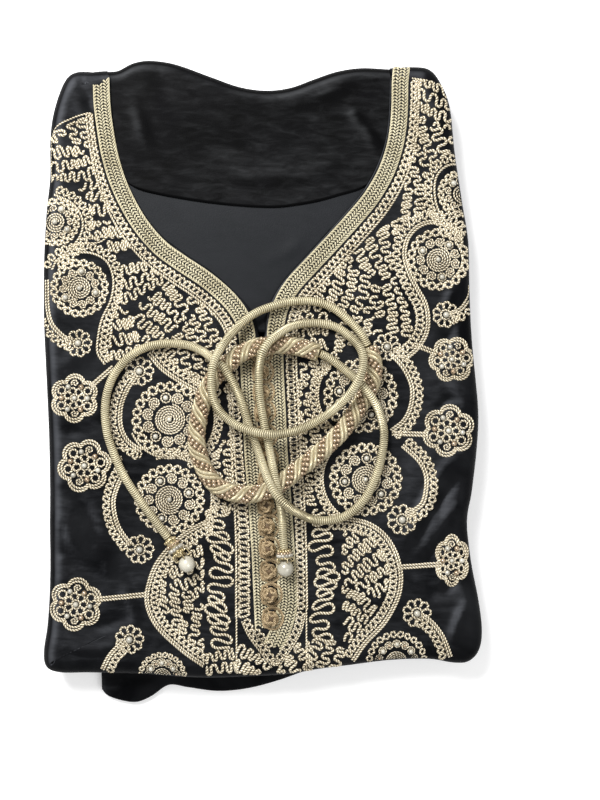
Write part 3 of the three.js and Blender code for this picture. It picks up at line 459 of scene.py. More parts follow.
# Materials.
class Look:
    """One material, with short ways to add nodes to it."""

    def __init__(self, name):
        self.material = bpy.data.materials.new(name)
        self.material.use_nodes = True
        self.nodes = self.material.node_tree.nodes
        self.links = self.material.node_tree.links
        self.shader = self.nodes["Principled BSDF"]

    def set(self, **values):
        """Sets sockets of the shader, with low lines in place of spaces in their names."""
        for name, value in values.items():
            self.shader.inputs[name.replace("_", " ")].default_value = value

    def places(self):
        return self.nodes.new("ShaderNodeTexCoord").outputs["Object"]

    def ramp(self, factor, stops):
        node = self.nodes.new("ShaderNodeValToRGB")
        while len(node.color_ramp.elements) < len(stops):
            node.color_ramp.elements.new(0.5)
        for element, (at, colour) in zip(node.color_ramp.elements, stops):
            element.position = at
            element.color = (*colour, 1)
        self.links.new(factor, node.inputs["Fac"])
        return node.outputs["Color"]

    def noise(self, vector, scale, detail=3.0, rough=0.5, distortion=0.0):
        node = self.nodes.new("ShaderNodeTexNoise")
        node.inputs["Scale"].default_value = scale
        node.inputs["Detail"].default_value = detail
        node.inputs["Roughness"].default_value = rough
        node.inputs["Distortion"].default_value = distortion
        self.links.new(vector, node.inputs["Vector"])
        return node.outputs["Fac"]

    def math(self, kind, *values):
        node = self.nodes.new("ShaderNodeMath")
        node.operation = kind
        for socket, value in zip(node.inputs, values):
            if isinstance(value, (int, float)):
                socket.default_value = value
            else:
                self.links.new(value, socket)
        return node.outputs[0]

    def between(self, value, low, high):
        """Share of the way from low to high."""
        node = self.nodes.new("ShaderNodeMapRange")
        node.inputs["From Min"].default_value = low
        node.inputs["From Max"].default_value = high
        self.links.new(value, node.inputs["Value"])
        return node

    def bump(self, height, strength, distance):
        node = self.nodes.new("ShaderNodeBump")
        node.inputs["Strength"].default_value = strength
        node.inputs["Distance"].default_value = distance
        self.links.new(height, node.inputs["Height"])
        self.links.new(node.outputs["Normal"], self.shader.inputs["Normal"])


# Direction that the painted sheen faces: cloth tilted this way, to the upper left on the side of the window
# light, gets the painted highlight colour.
PAINTED_SHEEN_FACES = (-0.82, 0.5, 0.0)
STREAK_TURN = 0.95
STREAK_SQUEEZE = 3.5
SHEEN_TINT = (0.70, 0.72, 0.80, 1)


def velvet_material(name, dark, light, painted_sheen, sheen, specular, rough=0.55):
    """Pile cloth: dark from above, with a painted sheen highlight where a crease or a rolled edge tilts the
    cloth towards the window light.
    """
    look = Look(name)
    nodes = look.nodes
    links = look.links
    where = look.places()
    tone = look.ramp(look.noise(where, 26, 3, 0.55, 0.6), [(0.35, dark), (0.72, light)])
    stand = nodes.new("ShaderNodeNewGeometry").outputs["Normal"]
    facing = nodes.new("ShaderNodeVectorMath")
    facing.operation = "DOT_PRODUCT"
    facing.inputs[1].default_value = PAINTED_SHEEN_FACES
    links.new(stand, facing.inputs[0])
    stretch = nodes.new("ShaderNodeMapping")
    stretch.inputs["Rotation"].default_value = (0, 0, STREAK_TURN)
    stretch.inputs["Scale"].default_value = (1, STREAK_SQUEEZE, 1)
    links.new(where, stretch.inputs["Vector"])
    streak = look.noise(stretch.outputs["Vector"], 55, 4, 0.6, 0.5)
    # Painted sheen mask: how far the cloth faces the window light, broken by streaks of noise, and kept off
    # steep walls.
    painted_sheen_mask = look.between(look.math("MULTIPLY_ADD", streak, 0.3, facing.outputs["Value"]), 0.08, 0.6)
    painted_sheen_mask.interpolation_type = "SMOOTHSTEP"
    level = nodes.new("ShaderNodeSeparateXYZ")
    links.new(stand, level.inputs[0])
    lying = look.between(level.outputs["Z"], 0.84, 0.97)
    mix = nodes.new("ShaderNodeMix")
    mix.data_type = "RGBA"
    links.new(look.math("MULTIPLY", painted_sheen_mask.outputs["Result"], lying.outputs["Result"]), mix.inputs["Factor"])
    links.new(tone, mix.inputs["A"])
    mix.inputs["B"].default_value = (*painted_sheen, 1)
    links.new(mix.outputs["Result"], look.shader.inputs["Base Color"])
    look.bump(look.noise(where, 1500, 2, 0.6), 0.25, 0.0006)
    look.set(Roughness=rough, Specular_IOR_Level=specular)
    look.set(Sheen_Weight=sheen, Sheen_Roughness=0.3, Sheen_Tint=SHEEN_TINT)
    return look.material


def twisted_material(name, painted_groove_shade, body, light, pitch, slope, strength, rough=0.45, metallic=0.35, fold=0):
    """Cord of gold thread: slanting threads round it, from its own length and turn; painted shade in the
    grooves between them and a painted highlight on their crests.
    """
    look = Look(name)
    uv = look.nodes.new("ShaderNodeUVMap")
    uv.uv_map = "along_around"
    split = look.nodes.new("ShaderNodeSeparateXYZ")
    look.links.new(uv.outputs["UV"], split.inputs[0])
    length = look.math("DIVIDE", split.outputs["X"], pitch)
    around = split.outputs["Y"]
    if fold:
        around = look.math("PINGPONG", around, 1 / fold)
    turns = look.math("ADD", length, look.math("MULTIPLY", around, slope))
    wave = look.math("SINE", look.math("MULTIPLY", turns, 2 * math.pi))
    half = look.math("MULTIPLY_ADD", wave, 0.5, 0.5)
    patch = look.noise(look.places(), 60, 3)
    mixed = look.math("MULTIPLY_ADD", half, 0.55, look.math("MULTIPLY", patch, 0.6))
    # Painted shade at the low stop and a painted highlight at the high stop, along the twist, varied by
    # patches of noise.
    colour = look.ramp(mixed, [(0.2, painted_groove_shade), (0.5, body), (0.85, light)])
    look.links.new(colour, look.shader.inputs["Base Color"])
    look.bump(half, strength, 0.0007)
    look.set(Roughness=rough, Metallic=metallic)
    return look.material


def plain_material(name, low, high, rough, metallic, scale=90, coat=0.0):
    look = Look(name)
    where = look.places()
    spots = look.noise(where, scale, 3)
    look.links.new(look.ramp(spots, [(0.35, low), (0.7, high)]), look.shader.inputs["Base Color"])
    look.bump(look.noise(where, scale * 9, 2), 0.12, 0.0003)
    look.set(Roughness=rough, Metallic=metallic, Coat_Weight=coat)
    return look.material


# Length of one rib of the wound belt cord.
RIB = 1.6

# Each cloth: dark tone, lighter tone at random, painted sheen highlight, sheen weight and specular.
VELVET = velvet_material(
    "velvet", (0.0015, 0.0017, 0.0022), (0.0095, 0.010, 0.0112), (0.068, 0.071, 0.079), 0.01, 0.04,
)
FACING_VELVET = velvet_material(
    "facing velvet", (0.0005, 0.0005, 0.0006), (0.0014, 0.0014, 0.0018), (0.055, 0.057, 0.06), 0.01, 0.04,
)
SATIN = velvet_material(
    "satin lining", (0.007, 0.008, 0.0095), (0.010, 0.011, 0.013), (0.016, 0.017, 0.02), 0.0, 0.1, 0.5,
)
# Gold cords: painted groove shade, own colour and painted highlight, then twist pitch, slope and bump
# strength.
COUCHED = twisted_material(
    "couched gold cord", (0.13, 0.098, 0.052), (0.50, 0.415, 0.265), (0.95, 0.87, 0.69), 2.4, 2, 0.9,
    metallic=0.4,
)
BRAID = twisted_material(
    "braided gold", (0.26, 0.21, 0.11), (0.60, 0.53, 0.33), (0.90, 0.84, 0.62), 0.9, 3, 0.6,
)
# Dark strip under the stitches of the trims: painted shade seen in the gaps between them.
BRAID_PAINTED_SHADE = plain_material("painted shade under the braid", (0.12, 0.092, 0.045), (0.22, 0.175, 0.09), 0.7, 0.1)
BELT = twisted_material(
    "belt cord gold", (0.06, 0.044, 0.018), (0.50, 0.43, 0.25), (0.90, 0.83, 0.60), RIB, 2.4, 1.0,
    rough=0.42, metallic=0.45, fold=4,
)
BULLION = twisted_material(
    "rope gold", (0.17, 0.125, 0.055), (0.50, 0.42, 0.25), (0.82, 0.74, 0.53), 0.8, 6, 0.5,
    rough=0.35, metallic=0.5,
)
ROSE_BEAD = plain_material("rose gold beads", (0.26, 0.18, 0.11), (0.66, 0.53, 0.38), 0.25, 0.6, 500)
METAL = plain_material("cap metal", (0.42, 0.34, 0.18), (0.74, 0.64, 0.42), 0.3, 0.8, 300)
NACRE = plain_material("pearl", (0.36, 0.34, 0.28), (0.64, 0.61, 0.51), 0.25, 0.1, 60, 0.5)
CREAM_BEAD = plain_material("cream beads", (0.26, 0.24, 0.20), (0.60, 0.57, 0.49), 0.3, 0.25, 400)
# Dark ball inside each knot button: painted shade seen between the windings.
KNOT_PAINTED_SHADE = plain_material("painted shade inside a knot", (0.05, 0.03, 0.012), (0.16, 0.10, 0.05), 0.6, 0.2, 300)
# Knot cord: painted groove shade, own colour and painted highlight, as the gold cords.
KNOT = twisted_material(
    "knot cord", (0.06, 0.036, 0.014), (0.36, 0.25, 0.125), (0.74, 0.58, 0.36), 1.3, 4, 0.8,
)

# Cord belt, cord by cord, from one pearl to the other.
CORD_A_X_Y_Z = [
    (17.7, -132.5, 45), (16.9, -120.6, 45), (16.2, -107.7, 47), (14.7, -95, 57), (12.5, -83.8, 60.6),
    (10.1, -72.2, 58.5), (6.7, -55.5, 48.5), (4.3, -44.5, 46.7), (1.9, -32.6, 46.6), (-0.5, -18.4, 46.6),
    (-2, -4.9, 46.6), (-1.9, 9.3, 50), (0.7, 21.5, 59.4), (5.5, 30, 60.8), (12.4, 36.5, 57),
    (22.5, 43.3, 47.5), (34.4, 46.4, 42.5), (47.9, 46.4, 41.8), (60.6, 42.8, 42.5), (70.7, 35, 47),
    (77.5, 26.4, 55), (80, 16, 59.5), (77.1, 4.3, 62.8), (70.9, -7.4, 61.5), (62.5, -16.8, 56),
    (51, -26.7, 46), (35.2, -35.8, 44.5), (18.6, -40.8, 51), (3.7, -41.1, 54.8), (-12.8, -37.2, 53.5),
    (-24.7, -30.9, 51), (-33.6, -21.9, 53.5), (-37.9, -10.5, 59.5), (-38.4, 2.7, 63.4),
    (-36.4, 15.1, 63.6), (-30.5, 27.8, 58.5), (-20.2, 41.8, 47), (-6.9, 53.5, 43.5), (9, 60.2, 43.5),
    (25.6, 63.9, 42.2), (41.5, 63.9, 41.8), (56.6, 58.8, 41.8), (70.1, 48, 42.6), (78.8, 38, 44),
    (84, 28.4, 45),
]
ROPE_X_Y_Z = [
    (84.6, 27.3, 45), (87.9, 18.9, 45), (89, 8.6, 45), (86.3, -3.3, 44.8), (80.3, -14.4, 44.7),
    (72.4, -27.1, 44.7), (63.7, -39, 44.7), (52.6, -50.1, 44.7), (39.9, -61.2, 44.7), (28, -69.8, 46),
    (17.8, -78.3, 49.2), (7.5, -84.6, 49.4), (-4.4, -88.3, 48), (-17.2, -88.9, 45), (-29.9, -85.8, 44.7),
    (-40.2, -77.8, 44.7), (-47.3, -65.1, 44.7), (-51.3, -50.9, 44.7), (-51.3, -36.6, 44.7),
    (-48.9, -23.9, 44.7), (-44.9, -9.6, 44.7), (-37.8, 3, 44.7), (-26.7, 14.5, 45), (-13.9, 23.5, 47.5),
    (-0.4, 28.2, 49.6), (13, 29, 48.8), (24.9, 28.4, 45.5), (36.7, 25.6, 44.7), (45.5, 22.9, 44.7),
]
CORD_B_X_Y_Z = [
    (46.3, 22.5, 44.7), (53.4, 19, 43), (61.4, 13.4, 42.5), (69.2, 7, 46), (76, 0.5, 52.5),
    (82.1, -6.2, 55.4), (88.5, -15.2, 54.5), (93.5, -25.4, 49), (97.2, -39.8, 42.2), (96, -55.7, 41.8),
    (91.6, -73.2, 41.8), (84.5, -89.1, 41.8), (74.9, -100.7, 41.8), (63.8, -107.8, 41.8),
    (51.1, -110.2, 41.8), (38.3, -108.4, 44), (27.3, -102.1, 56), (18, -94.2, 66.6), (11.1, -86.3, 68.2),
    (6.4, -77.9, 66.8), (1.5, -66, 57.5), (-4, -50.7, 48), (-8.4, -38.9, 46.7), (-12.5, -27.1, 43.5),
    (-17.2, -12.8, 44.5), (-23.1, 0.5, 52), (-29.9, 11.5, 55.9), (-37, 17, 55.2), (-47.2, 24.4, 46),
    (-59.4, 29.3, 42), (-75.4, 30.5, 41.8), (-91.3, 27.7, 41.8), (-105.6, 19.8, 41.8),
    (-116.7, 7.1, 41.8), (-122.7, -7.2, 41.8), (-124.7, -22.4, 41.8), (-123.5, -38.3, 41.8),
    (-119.9, -51, 41.8), (-113.1, -67.7, 41.8), (-104.8, -82.8, 41.8), (-94.4, -97.9, 41.8),
    (-84.1, -111.4, 42), (-74.4, -123.9, 43.5),
]

# How far the ribs stand out, as a share of the cord's radius.
RIB_DEPTH = 0.045


def ribbed_cord(name, points, node):
    """Cord wound with thread, so that it is ribbed from end to end."""
    line = by_step(spline(points, 1200), RIB / 3)
    ribs = np.sin(2 * np.pi * lengths(line) / RIB)
    parts = Parts()
    parts.tube(line, CORD / 2 * (1 - RIB_DEPTH + RIB_DEPTH * ribs), 14)
    piece = parts.build(name, [BELT])
    declare(piece, "belt_cord", node)
    return piece, line


cord_a, route_a = ribbed_cord("belt_cord_a", CORD_A_X_Y_Z, "cord_a")
cord_b, route_b = ribbed_cord("belt_cord_b", CORD_B_X_Y_Z, "cord_b")


def rope_frames(line):
    """Directions across a line in space: to its side and up."""
    run = np.gradient(line, axis=0)
    run /= np.linalg.norm(run, axis=1, keepdims=True)
    side = np.stack([run[:, 1], -run[:, 0], np.zeros(len(run))], 1)
    side /= np.linalg.norm(side, axis=1, keepdims=True)
    return side, np.cross(side, run)


# Strands and rows of beads wind round the rope, each from its own angle in degrees.
ROPE_PITCH = 33.0
ROPE_STRANDS = [0, 46, 180, 226]
STRAND = 1.7
BEAD_ROWS = [91, 134, 271, 314]
BEAD = 1.95
ROPE_SWELL = 0.7
ROPE_CORE = ROPE / 2 - 1.9
ROPE_END = 0.8
BEAD_END = 1.5


def twisted_rope():
    line = by_step(spline(ROPE_X_Y_Z, 1200), 0.8)
    side, up = rope_frames(line)
    gone = lengths(line)
    parts = Parts()
    parts.tube(line, ROPE_CORE, 10)

    def wound(start, reach, where):
        turn = np.radians(start) + 2 * np.pi * where / ROPE_PITCH
        middle, sideways, upward = (along(field, gone, where) for field in (line, side, up))
        return middle + reach * (np.cos(turn)[:, None] * sideways + np.sin(turn)[:, None] * upward)

    strand_places = np.arange(ROPE_END, gone[-1] - ROPE_END, 0.9)
    for start in ROPE_STRANDS:
        parts.tube(wound(start, ROPE / 2 + ROPE_SWELL - STRAND, strand_places), STRAND, 7)
    slope = math.hypot(1, 2 * math.pi * (ROPE / 2 + ROPE_SWELL - BEAD) / ROPE_PITCH)
    for n, start in enumerate(BEAD_ROWS):
        spots = np.arange(BEAD_END + 0.7 * (n % 2), gone[-1] - BEAD_END, 2.05 * BEAD / slope)
        for spot in wound(start, ROPE / 2 + ROPE_SWELL + 0.2 - BEAD, spots):
            parts.ball(spot, BEAD, slot=1)
    piece = parts.build("belt_rope", [BULLION, ROSE_BEAD])
    declare(piece, "rope", "rope")
    return piece, line


rope, route_rope = twisted_rope()

# Where each cap starts and where its pearl's middle is.
ENDS = {
    "a": ((17.7, -132.9, 45), (18.8, -148.2, 44.6)),
    "b": ((-74.1, -124.3, 43.5), (-59.4, -144.6, 44.4)),
}
# Radius of a cap at shares of its length, and its rings of beads: share, bead radius and material.
CAP_PROFILE = [(0.0, 4.2), (0.1, 5.0), (0.3, 5.5), (0.55, 5.8), (0.8, 5.0), (0.96, 3.2)]
CAP_RINGS = [(0.12, 1.35, 0), (0.34, 1.35, 1), (0.56, 1.75, 2), (0.78, 1.35, 0)]
CAP_BEADS = 12
CAP_TWIST = 1.2
CAP_LOOPS = 5
WIRE = 0.55


def cap_and_pearl(letter):
    """Cap with rings of beads and wire loops, and the pearl that it holds."""
    start, pearl = (np.array(p, float) for p in ENDS[letter])
    axis = (pearl - start) / np.linalg.norm(pearl - start)
    stop = pearl - axis * (PEARL / 2 + 0.35)
    side = np.cross([0, 0, 1], axis)
    side /= np.linalg.norm(side)
    up = np.cross(axis, side)
    parts = Parts()
    shares = np.array([c[0] for c in CAP_PROFILE])
    reaches = np.array([c[1] for c in CAP_PROFILE])
    fine = np.linspace(0, 0.96, 10)
    body = start + fine[:, None] * (stop - start)
    parts.tube(body, np.interp(fine, shares, reaches) - 0.9, 12)

    def outward(turn):
        return math.cos(turn) * side + math.sin(turn) * up

    for k in range(CAP_BEADS):
        turn = 2 * math.pi * k / CAP_BEADS
        for share, radius, slot in CAP_RINGS:
            reach = np.interp(share, shares, reaches) - 0.6
            at = start + share * (stop - start) + reach * outward(turn + share * CAP_TWIST)
            parts.ball(at, radius, slot=slot)
    foot = start + 0.8 * (stop - start)
    tip = stop + 1.2 * axis
    for k in range(CAP_LOOPS):
        out = outward(2 * math.pi * k / CAP_LOOPS)
        loop = np.array([foot + out * 4.2, foot + out * 6.6, tip + out * 6.9, tip + out * 4.6])
        parts.tube(spline(loop, 12), WIRE, 5)
    cap = parts.build("belt_cap_" + letter, [METAL, ROSE_BEAD, CREAM_BEAD])
    declare(cap, "cap", "cap_" + letter)
    ball = Parts()
    ball.ball(pearl, PEARL / 2 * 0.99, 0.97, 28, 18)
    pearl_piece = ball.build("belt_pearl_" + letter, [NACRE])
    declare(pearl_piece, "pearl", "pearl_" + letter)
    return [cap, pearl_piece]


end_a = cap_and_pearl("a")
end_b = cap_and_pearl("b")


def metres(line):
    """Every third place of a route, and its end, in the frame."""
    return place(np.vstack([line[:-1:3], line[-1:]])).tolist()


def declare_cord(line, start):
    route = metres(line)
    if start == "end":
        route = route[::-1]


# Front of the kaftan: one cloth from the folded edge to the neck and the slit.
INNER = (
    NECK_LEFT_X_Y
    + [(x - SLIT / 2, y) for x, y in SLIT_X_Y]
    + [(x + SLIT / 2, y) for x, y in reversed(SLIT_X_Y)]
    + list(reversed(NECK_RIGHT_X_Y))
)
# Which place on the outer edge each place on the inner edge faces.
FACES = [
    (0, 0), (4, 1), (9, 10), (12, 15), (18, 19.4), (23, 22), (25, 23.4), (30, 25.6), (36, 29), (41, 36),
    (45, 44), (49, 45),
]


def corner_line(points):
    """Places on a smooth line, its own points at whole numbers."""
    p = np.asarray(points, float)
    q = np.vstack([2 * p[0] - p[1], p, 2 * p[-1] - p[-2]])

    def at(places):
        places = np.clip(places, 0, len(p) - 1.0001)
        i = places.astype(int)
        f = (places - i)[:, None]
        return cubic(q[i], q[i + 1], q[i + 2], q[i + 3], f)

    return at


def rolled(near, drop):
    """Height at a drop down the rolled edge, the same at all heights of the cloth at its foot."""
    return SEAT + (near - SEAT) * (1 - drop / (TOP - SEAT))


FRONT_COLUMNS = 420
FRONT_ACROSS = 64
ROLL_STEPS = 10
END_EDGE = 0.12
END_REACH = 1.6
# Inset and drop of the cloth's turned-under hem.
HEM = [(0.4, 10.2), (1.2, 12.0), (3.0, 13.6)]


def front_velvet():
    """Rows from the neck out to the rim, then round the rolled edge and into the hem."""
    outer_places = np.linspace(0, FACES[-1][0], FRONT_COLUMNS)
    inner_places = np.interp(outer_places, [f[0] for f in FACES], [f[1] for f in FACES])
    outer = corner_line(list(reversed(EDGE_X_Y)))(outer_places)
    inner = corner_line(INNER)(inner_places)
    _, left = sides_of(outer)
    edge = EDGE * np.clip(END_EDGE + outer_places / END_REACH, 0, 1)
    narrowed = edge < EDGE - 0.01
    rim = outer + left * edge[:, None]
    rows = []
    for f in np.linspace(0, 1, FRONT_ACROSS):
        p = inner + (rim - inner) * f
        height = np.where(narrowed, read(GROUND, p[:, 0], p[:, 1]), read(FLAT, p[:, 0], p[:, 1]))
        rows.append(np.column_stack([p, height]))
    near = read(FLAT, rim[:, 0], rim[:, 1])
    for turn in np.linspace(0, np.pi / 2, ROLL_STEPS)[1:]:
        inset = edge * (1 - math.sin(turn))
        drop = ROLL_DROP * (1 - math.cos(turn))
        p = outer + left * inset[:, None]
        height = np.where(narrowed, read(GROUND, p[:, 0], p[:, 1]), rolled(near, drop))
        rows.append(np.column_stack([p, height]))
    for inset, drop in HEM:
        p = outer + left * inset
        rows.append(np.column_stack([p, rolled(near, drop)]))
    return cloth_of("front_velvet", rows, VELVET, CLOTH)


front = front_velvet()
declare(front, "velvet", "front")

# Folded layers under the front, seen round the edge: low, high and inset of each.
LAYERS = [(1.2, 10.2, 1.3), (2.9, 8.6, 3.0), (11.0, 20.4, 0.7), (12.8, 18.6, 2.4)]
LAYER_TUCK = 13
LAYER_ROUND = 5.2
BASE_INSET = 13.5
BASE_Z = 0.9


def folded_layers():
    """Rounded edge of each layer with its own unevenness, and the flat underside."""
    steps = 360
    edge = even(np.vstack([OUTLINE, OUTLINE[:1]]), steps + 1)[:-1]
    _, left = sides_of(np.vstack([edge[-1:], edge, edge[:1]]))
    inward = -left[1:-1]
    angle = 2 * np.pi * np.arange(steps) / steps
    parts = Parts()

    def add_rings(rings, turned):
        parts.add_rows([np.vstack([ring, ring[:1]]) for ring in rings], turned)

    for n, (low, high, near) in enumerate(LAYERS):
        wave = 0.5 * np.sin(7 * angle + n) + 0.4 * np.sin(17 * angle + 2.3 * n)
        wave = wave + 0.25 * np.sin(31 * angle + n * n)
        middle = (low + high) / 2 + 0.5 * np.sin(5 * angle + 1.7 * n)
        tucked = np.full(steps, near + LAYER_TUCK)
        profile = [(tucked, np.full(steps, low))]
        for turn in np.linspace(-np.pi / 2, np.pi / 2, 9):
            inset = near + 0.6 + LAYER_ROUND * (1 - math.cos(turn)) + wave * math.cos(turn) * 0.5
            profile.append((inset, middle + (high - low) / 2 * math.sin(turn)))
        profile.append((tucked, np.full(steps, high)))
        add_rings([np.column_stack([edge + inward * inset[:, None], z]) for inset, z in profile], True)
    base = edge + inward * BASE_INSET
    add_rings([np.column_stack([base * f, np.full(steps, BASE_Z)]) for f in (1, 0.66, 0.33, 0.02)], False)
    return thicken(parts.build("folded_layers", [VELVET]), 1.2, 0)


layers = folded_layers()
declare(layers, "velvet", "folded_core")

# Back neck facing and the satin lining below it.
BACK_UNDER = 1.05
LINING_UNDER = 1.75
FACING_TUCK = 9.0
END_TUCK = 0.3 * FACING_TUCK


def back_facing():
    """Rows from the curved low edge up and over the back neck; its ends are tucked under the front."""
    columns = 150
    low = spline(FACING_LOW_X_Y, columns)
    top = spline([EDGE_X_Y[-1]] + NECK_TOP_X_Y + [EDGE_X_Y[0]], columns)
    _, left = sides_of(top)
    inward = -left
    rows = []
    rim = top + inward * EDGE
    sideways = np.linspace(-1, 1, columns) ** 5
    for f in np.linspace(0, 1, 40):
        p = low + (rim - low) * f
        p[:, 0] += sideways * (FACING_TUCK * math.sin(math.pi * f) + END_TUCK * f)
        rows.append(np.column_stack([p, read(FLAT, p[:, 0], p[:, 1]) - BACK_UNDER]))
    near = read(FLAT, rim[:, 0], rim[:, 1]) - 0.6
    for turn in np.linspace(0, np.pi / 2, 8)[1:]:
        p = top + inward * (0.3 + (EDGE - 0.3) * (1 - math.sin(turn)))
        p[:, 0] += sideways * END_TUCK * (1 - math.sin(turn))
        rows.append(np.column_stack([p, rolled(near, ROLL_DROP * (1 - math.cos(turn)) + 0.3)]))
    for inset, drop in ((0.9, 10.6), (2.2, 12.4)):
        p = top + inward * inset
        rows.append(np.column_stack([p, rolled(near, drop)]))
    rows = np.array(rows)
    return cloth_of("back_facing_velvet", rows[:, ::-1], FACING_VELVET, 1.0)


facing = back_facing()
declare(facing, "velvet", "back_facing")


def back_lining():
    """Rows from neck edge to neck edge; the first of them follow the facing's low edge."""
    columns = 90
    rows_down = 60
    curved = 22
    start = spline(np.array(FACING_LOW_X_Y) + [0, 1.0], columns)
    left = spline(NECK_LEFT_X_Y[4:], rows_down)
    right = spline(NECK_RIGHT_X_Y[4:], rows_down)
    f = np.linspace(0, 1, columns)[:, None]
    rows = []
    for i in range(rows_down):
        p = left[i] + (right[i] - left[i]) * f
        share = i / curved
        if i < curved:
            p = (start - [0, i * 1.9]) * (1 - share) + p * share
        rows.append(np.column_stack([p, read(FLAT, p[:, 0], p[:, 1]) - LINING_UNDER]))
    return cloth_of("back_lining_satin", rows, SATIN, 0.8)


lining = back_lining()
declare(lining, "satin", "back_lining")

# Low edge of the layer under the front, and the line that it comes out from.
UNDER_X_Y = [
    (-133, -254), (-128, -259), (-116, -263), (-104, -264), (-92, -259), (-78, -250),
    (-62, -252), (-38, -255), (-14, -253), (10, -247), (30, -240), (44, -235),
]
UNDER_BACK_X_Y = [(-133, -231), (-62, -234), (-14, -234), (44, -229)]
UNDER_TOP = 11.0
UNDER_FALL = 5.2
UNDER_TURN = 1.2
UNDER_LOW = 2.9


def under_layer():
    """Upper side, turned hem and underside of the layer below the front."""
    low = spline(UNDER_X_Y, 120)
    x = low[:, 0]
    back = np.interp(x, *np.transpose(UNDER_BACK_X_Y))
    hem = low[:, 1] + UNDER_TURN
    rows = []
    for f in np.linspace(0, 1, 14):
        crease = 0.5 * np.sin(x / 9 + 3 * f) * f
        rows.append(np.column_stack([x, back + (hem - back) * f, UNDER_TOP - UNDER_FALL * f + crease]))
    for turn in np.linspace(0, np.pi, 7)[1:]:
        z = 5.1 - UNDER_TURN + UNDER_TURN * math.cos(turn)
        rows.append(np.column_stack([x, hem - UNDER_TURN * math.sin(turn), np.full(len(x), z)]))
    for f in np.linspace(0, 1, 8)[1:]:
        rows.append(np.column_stack([x, hem + (back - hem) * f, np.full(len(x), UNDER_LOW + 5.4 * f)]))
    return cloth_of("lower_layer_velvet", np.array(rows)[:, ::-1], VELVET, 0.9)


under = under_layer()
declare(under, "velvet", "under_layer")

# Gold trims of slanting stitches in chevrons.
TRIM_LEFT_X_Y = [
    (-128.8, 243), (-128, 222), (-125.6, 202), (-121.5, 180), (-113.5, 155.5), (-99.5, 129), (-83, 109),
    (-65.5, 95.8), (-46.5, 83.2), (-31, 70.4), (-20.5, 58.5), (-13.6, 45.5), (-11.6, 32), (-10.6, 8),
    (-9, -24), (-7.4, -58), (-4.6, -94), (-2, -132), (-0.4, -168), (1, -198),
]
TRIM_RIGHT_X_Y = [
    (112.5, 253.5), (110.6, 241), (110.2, 222), (109, 204), (105.6, 186), (98.6, 166.5), (87, 147),
    (72.5, 129.5), (56, 111.4), (38.2, 92.4), (24, 76.6), (15.2, 61), (11.4, 46), (10.4, 32), (10.8, 8),
    (12.4, -24), (14, -58), (16.8, -94), (19.4, -132), (21.4, -162), (21.8, -178), (17.4, -196),
    (9.8, -212),
]
STITCH_STEP = 2.5
STITCH_COLUMNS = 5
STITCH_WIDTH = TRIM_WIDTH / STITCH_COLUMNS
STITCH_LEAN = 1.3
HALF = TRIM_WIDTH / 2
# Half width of the left trim beside the slit, and where along it the trim narrows.
SLIT_HALF = 5.0
NARROWS = (0.5, 0.62)
SPREADS = (0.5, 0.58)
EXTRA_COLUMN_FROM = 0.56


def braid_trim(name, points, node, slit_side, seed, slant, spread):
    """Trim of stitches in columns that lean to and fro; slant cuts its top, spread widens its low half."""
    random.seed(seed)
    line = by_step(spline(points, 2000), 0.5)
    gone = lengths(line)
    _, left = sides_of(line)
    share = gone / gone[-1]
    narrow = np.clip((share - NARROWS[0]) / (NARROWS[1] - NARROWS[0]), 0, 1)
    narrow = narrow * narrow * (3 - 2 * narrow)
    near_half = HALF + (SLIT_HALF - HALF) * (narrow if slit_side else 0 * narrow)
    far_half = HALF + spread * np.clip((share - SPREADS[0]) / (SPREADS[1] - SPREADS[0]), 0, 1)
    parts = Parts()
    # Strip under the stitches, slot 1: painted shade in the gaps between them.
    rows = []
    for f in np.linspace(-1, 1, 9):
        away = f * (near_half if f > 0 else far_half)
        held = np.maximum(gone, slant * (0.5 - f / 2))
        p = along(line, gone, held) + left * (away * 0.95)[:, None]
        rows.append(on_cloth(p, 0.8 - 0.5 * abs(f) ** 3))
    verts = np.vstack(rows)
    quads = quads_of(len(rows), len(line))
    parts.add(verts, quads, np.zeros((len(quads), 4, 2)), 1)
    t = np.linspace(-1, 1, 4)
    body = np.sqrt(np.clip(1 - (t * 0.97) ** 2, 0, 1))
    for k in range(int(gone[-1] / STITCH_STEP)):
        for column in range(-1 if spread else 0, STITCH_COLUMNS):
            middle = -HALF + (column + 0.5) * STITCH_WIDTH
            way = 1 if column % 2 else -1
            at = (k + 0.5) * STITCH_STEP
            if slit_side and middle + STITCH_WIDTH * 0.4 > np.interp(at, gone, near_half):
                continue
            if column < 0 and at < EXTRA_COLUMN_FROM * gone[-1]:
                continue
            s = at + t * STITCH_LEAN + (column // 2 % 2) * 0.5 * STITCH_STEP + random.uniform(-0.12, 0.12)
            s = np.clip(s, slant * (0.5 - middle / TRIM_WIDTH), gone[-1])
            if s[-1] - s[0] < 0.6 * STITCH_STEP:
                continue
            away = middle + way * t * STITCH_WIDTH * 0.5
            plan = along(line, gone, s) + along(left, gone, s) * away[:, None]
            parts.tube(on_cloth(plan, 0.55 + 0.88 * body), 0.2 + 0.7 * body, 5)
    for away, cut in ((0.35 - far_half, int(slant * 2)), (near_half - 0.35, 0)):
        edge = line + left * away[:, None]
        parts.tube(on_cloth(edge[cut::2], 0.9), 0.8)
    piece = parts.build(name, [BRAID, BRAID_PAINTED_SHADE])
    declare(piece, "braid", node)


braid_trim("left_braided_trim", TRIM_LEFT_X_Y, "trim_left", True, 3, 5.0, 0.0)
braid_trim("right_braided_trim", TRIM_RIGHT_X_Y, "trim_right", False, 5, 0.0, 2.6)

# Couched cord: shapes in the plan, laid on the cloth as tubes.
THREAD = 1.2
LIMIT = 1.0
LAY_STEP = 0.7
figures = {}
beads = Parts()


def figure(name):
    if name not in figures:
        figures[name] = Parts()
    return figures[name]


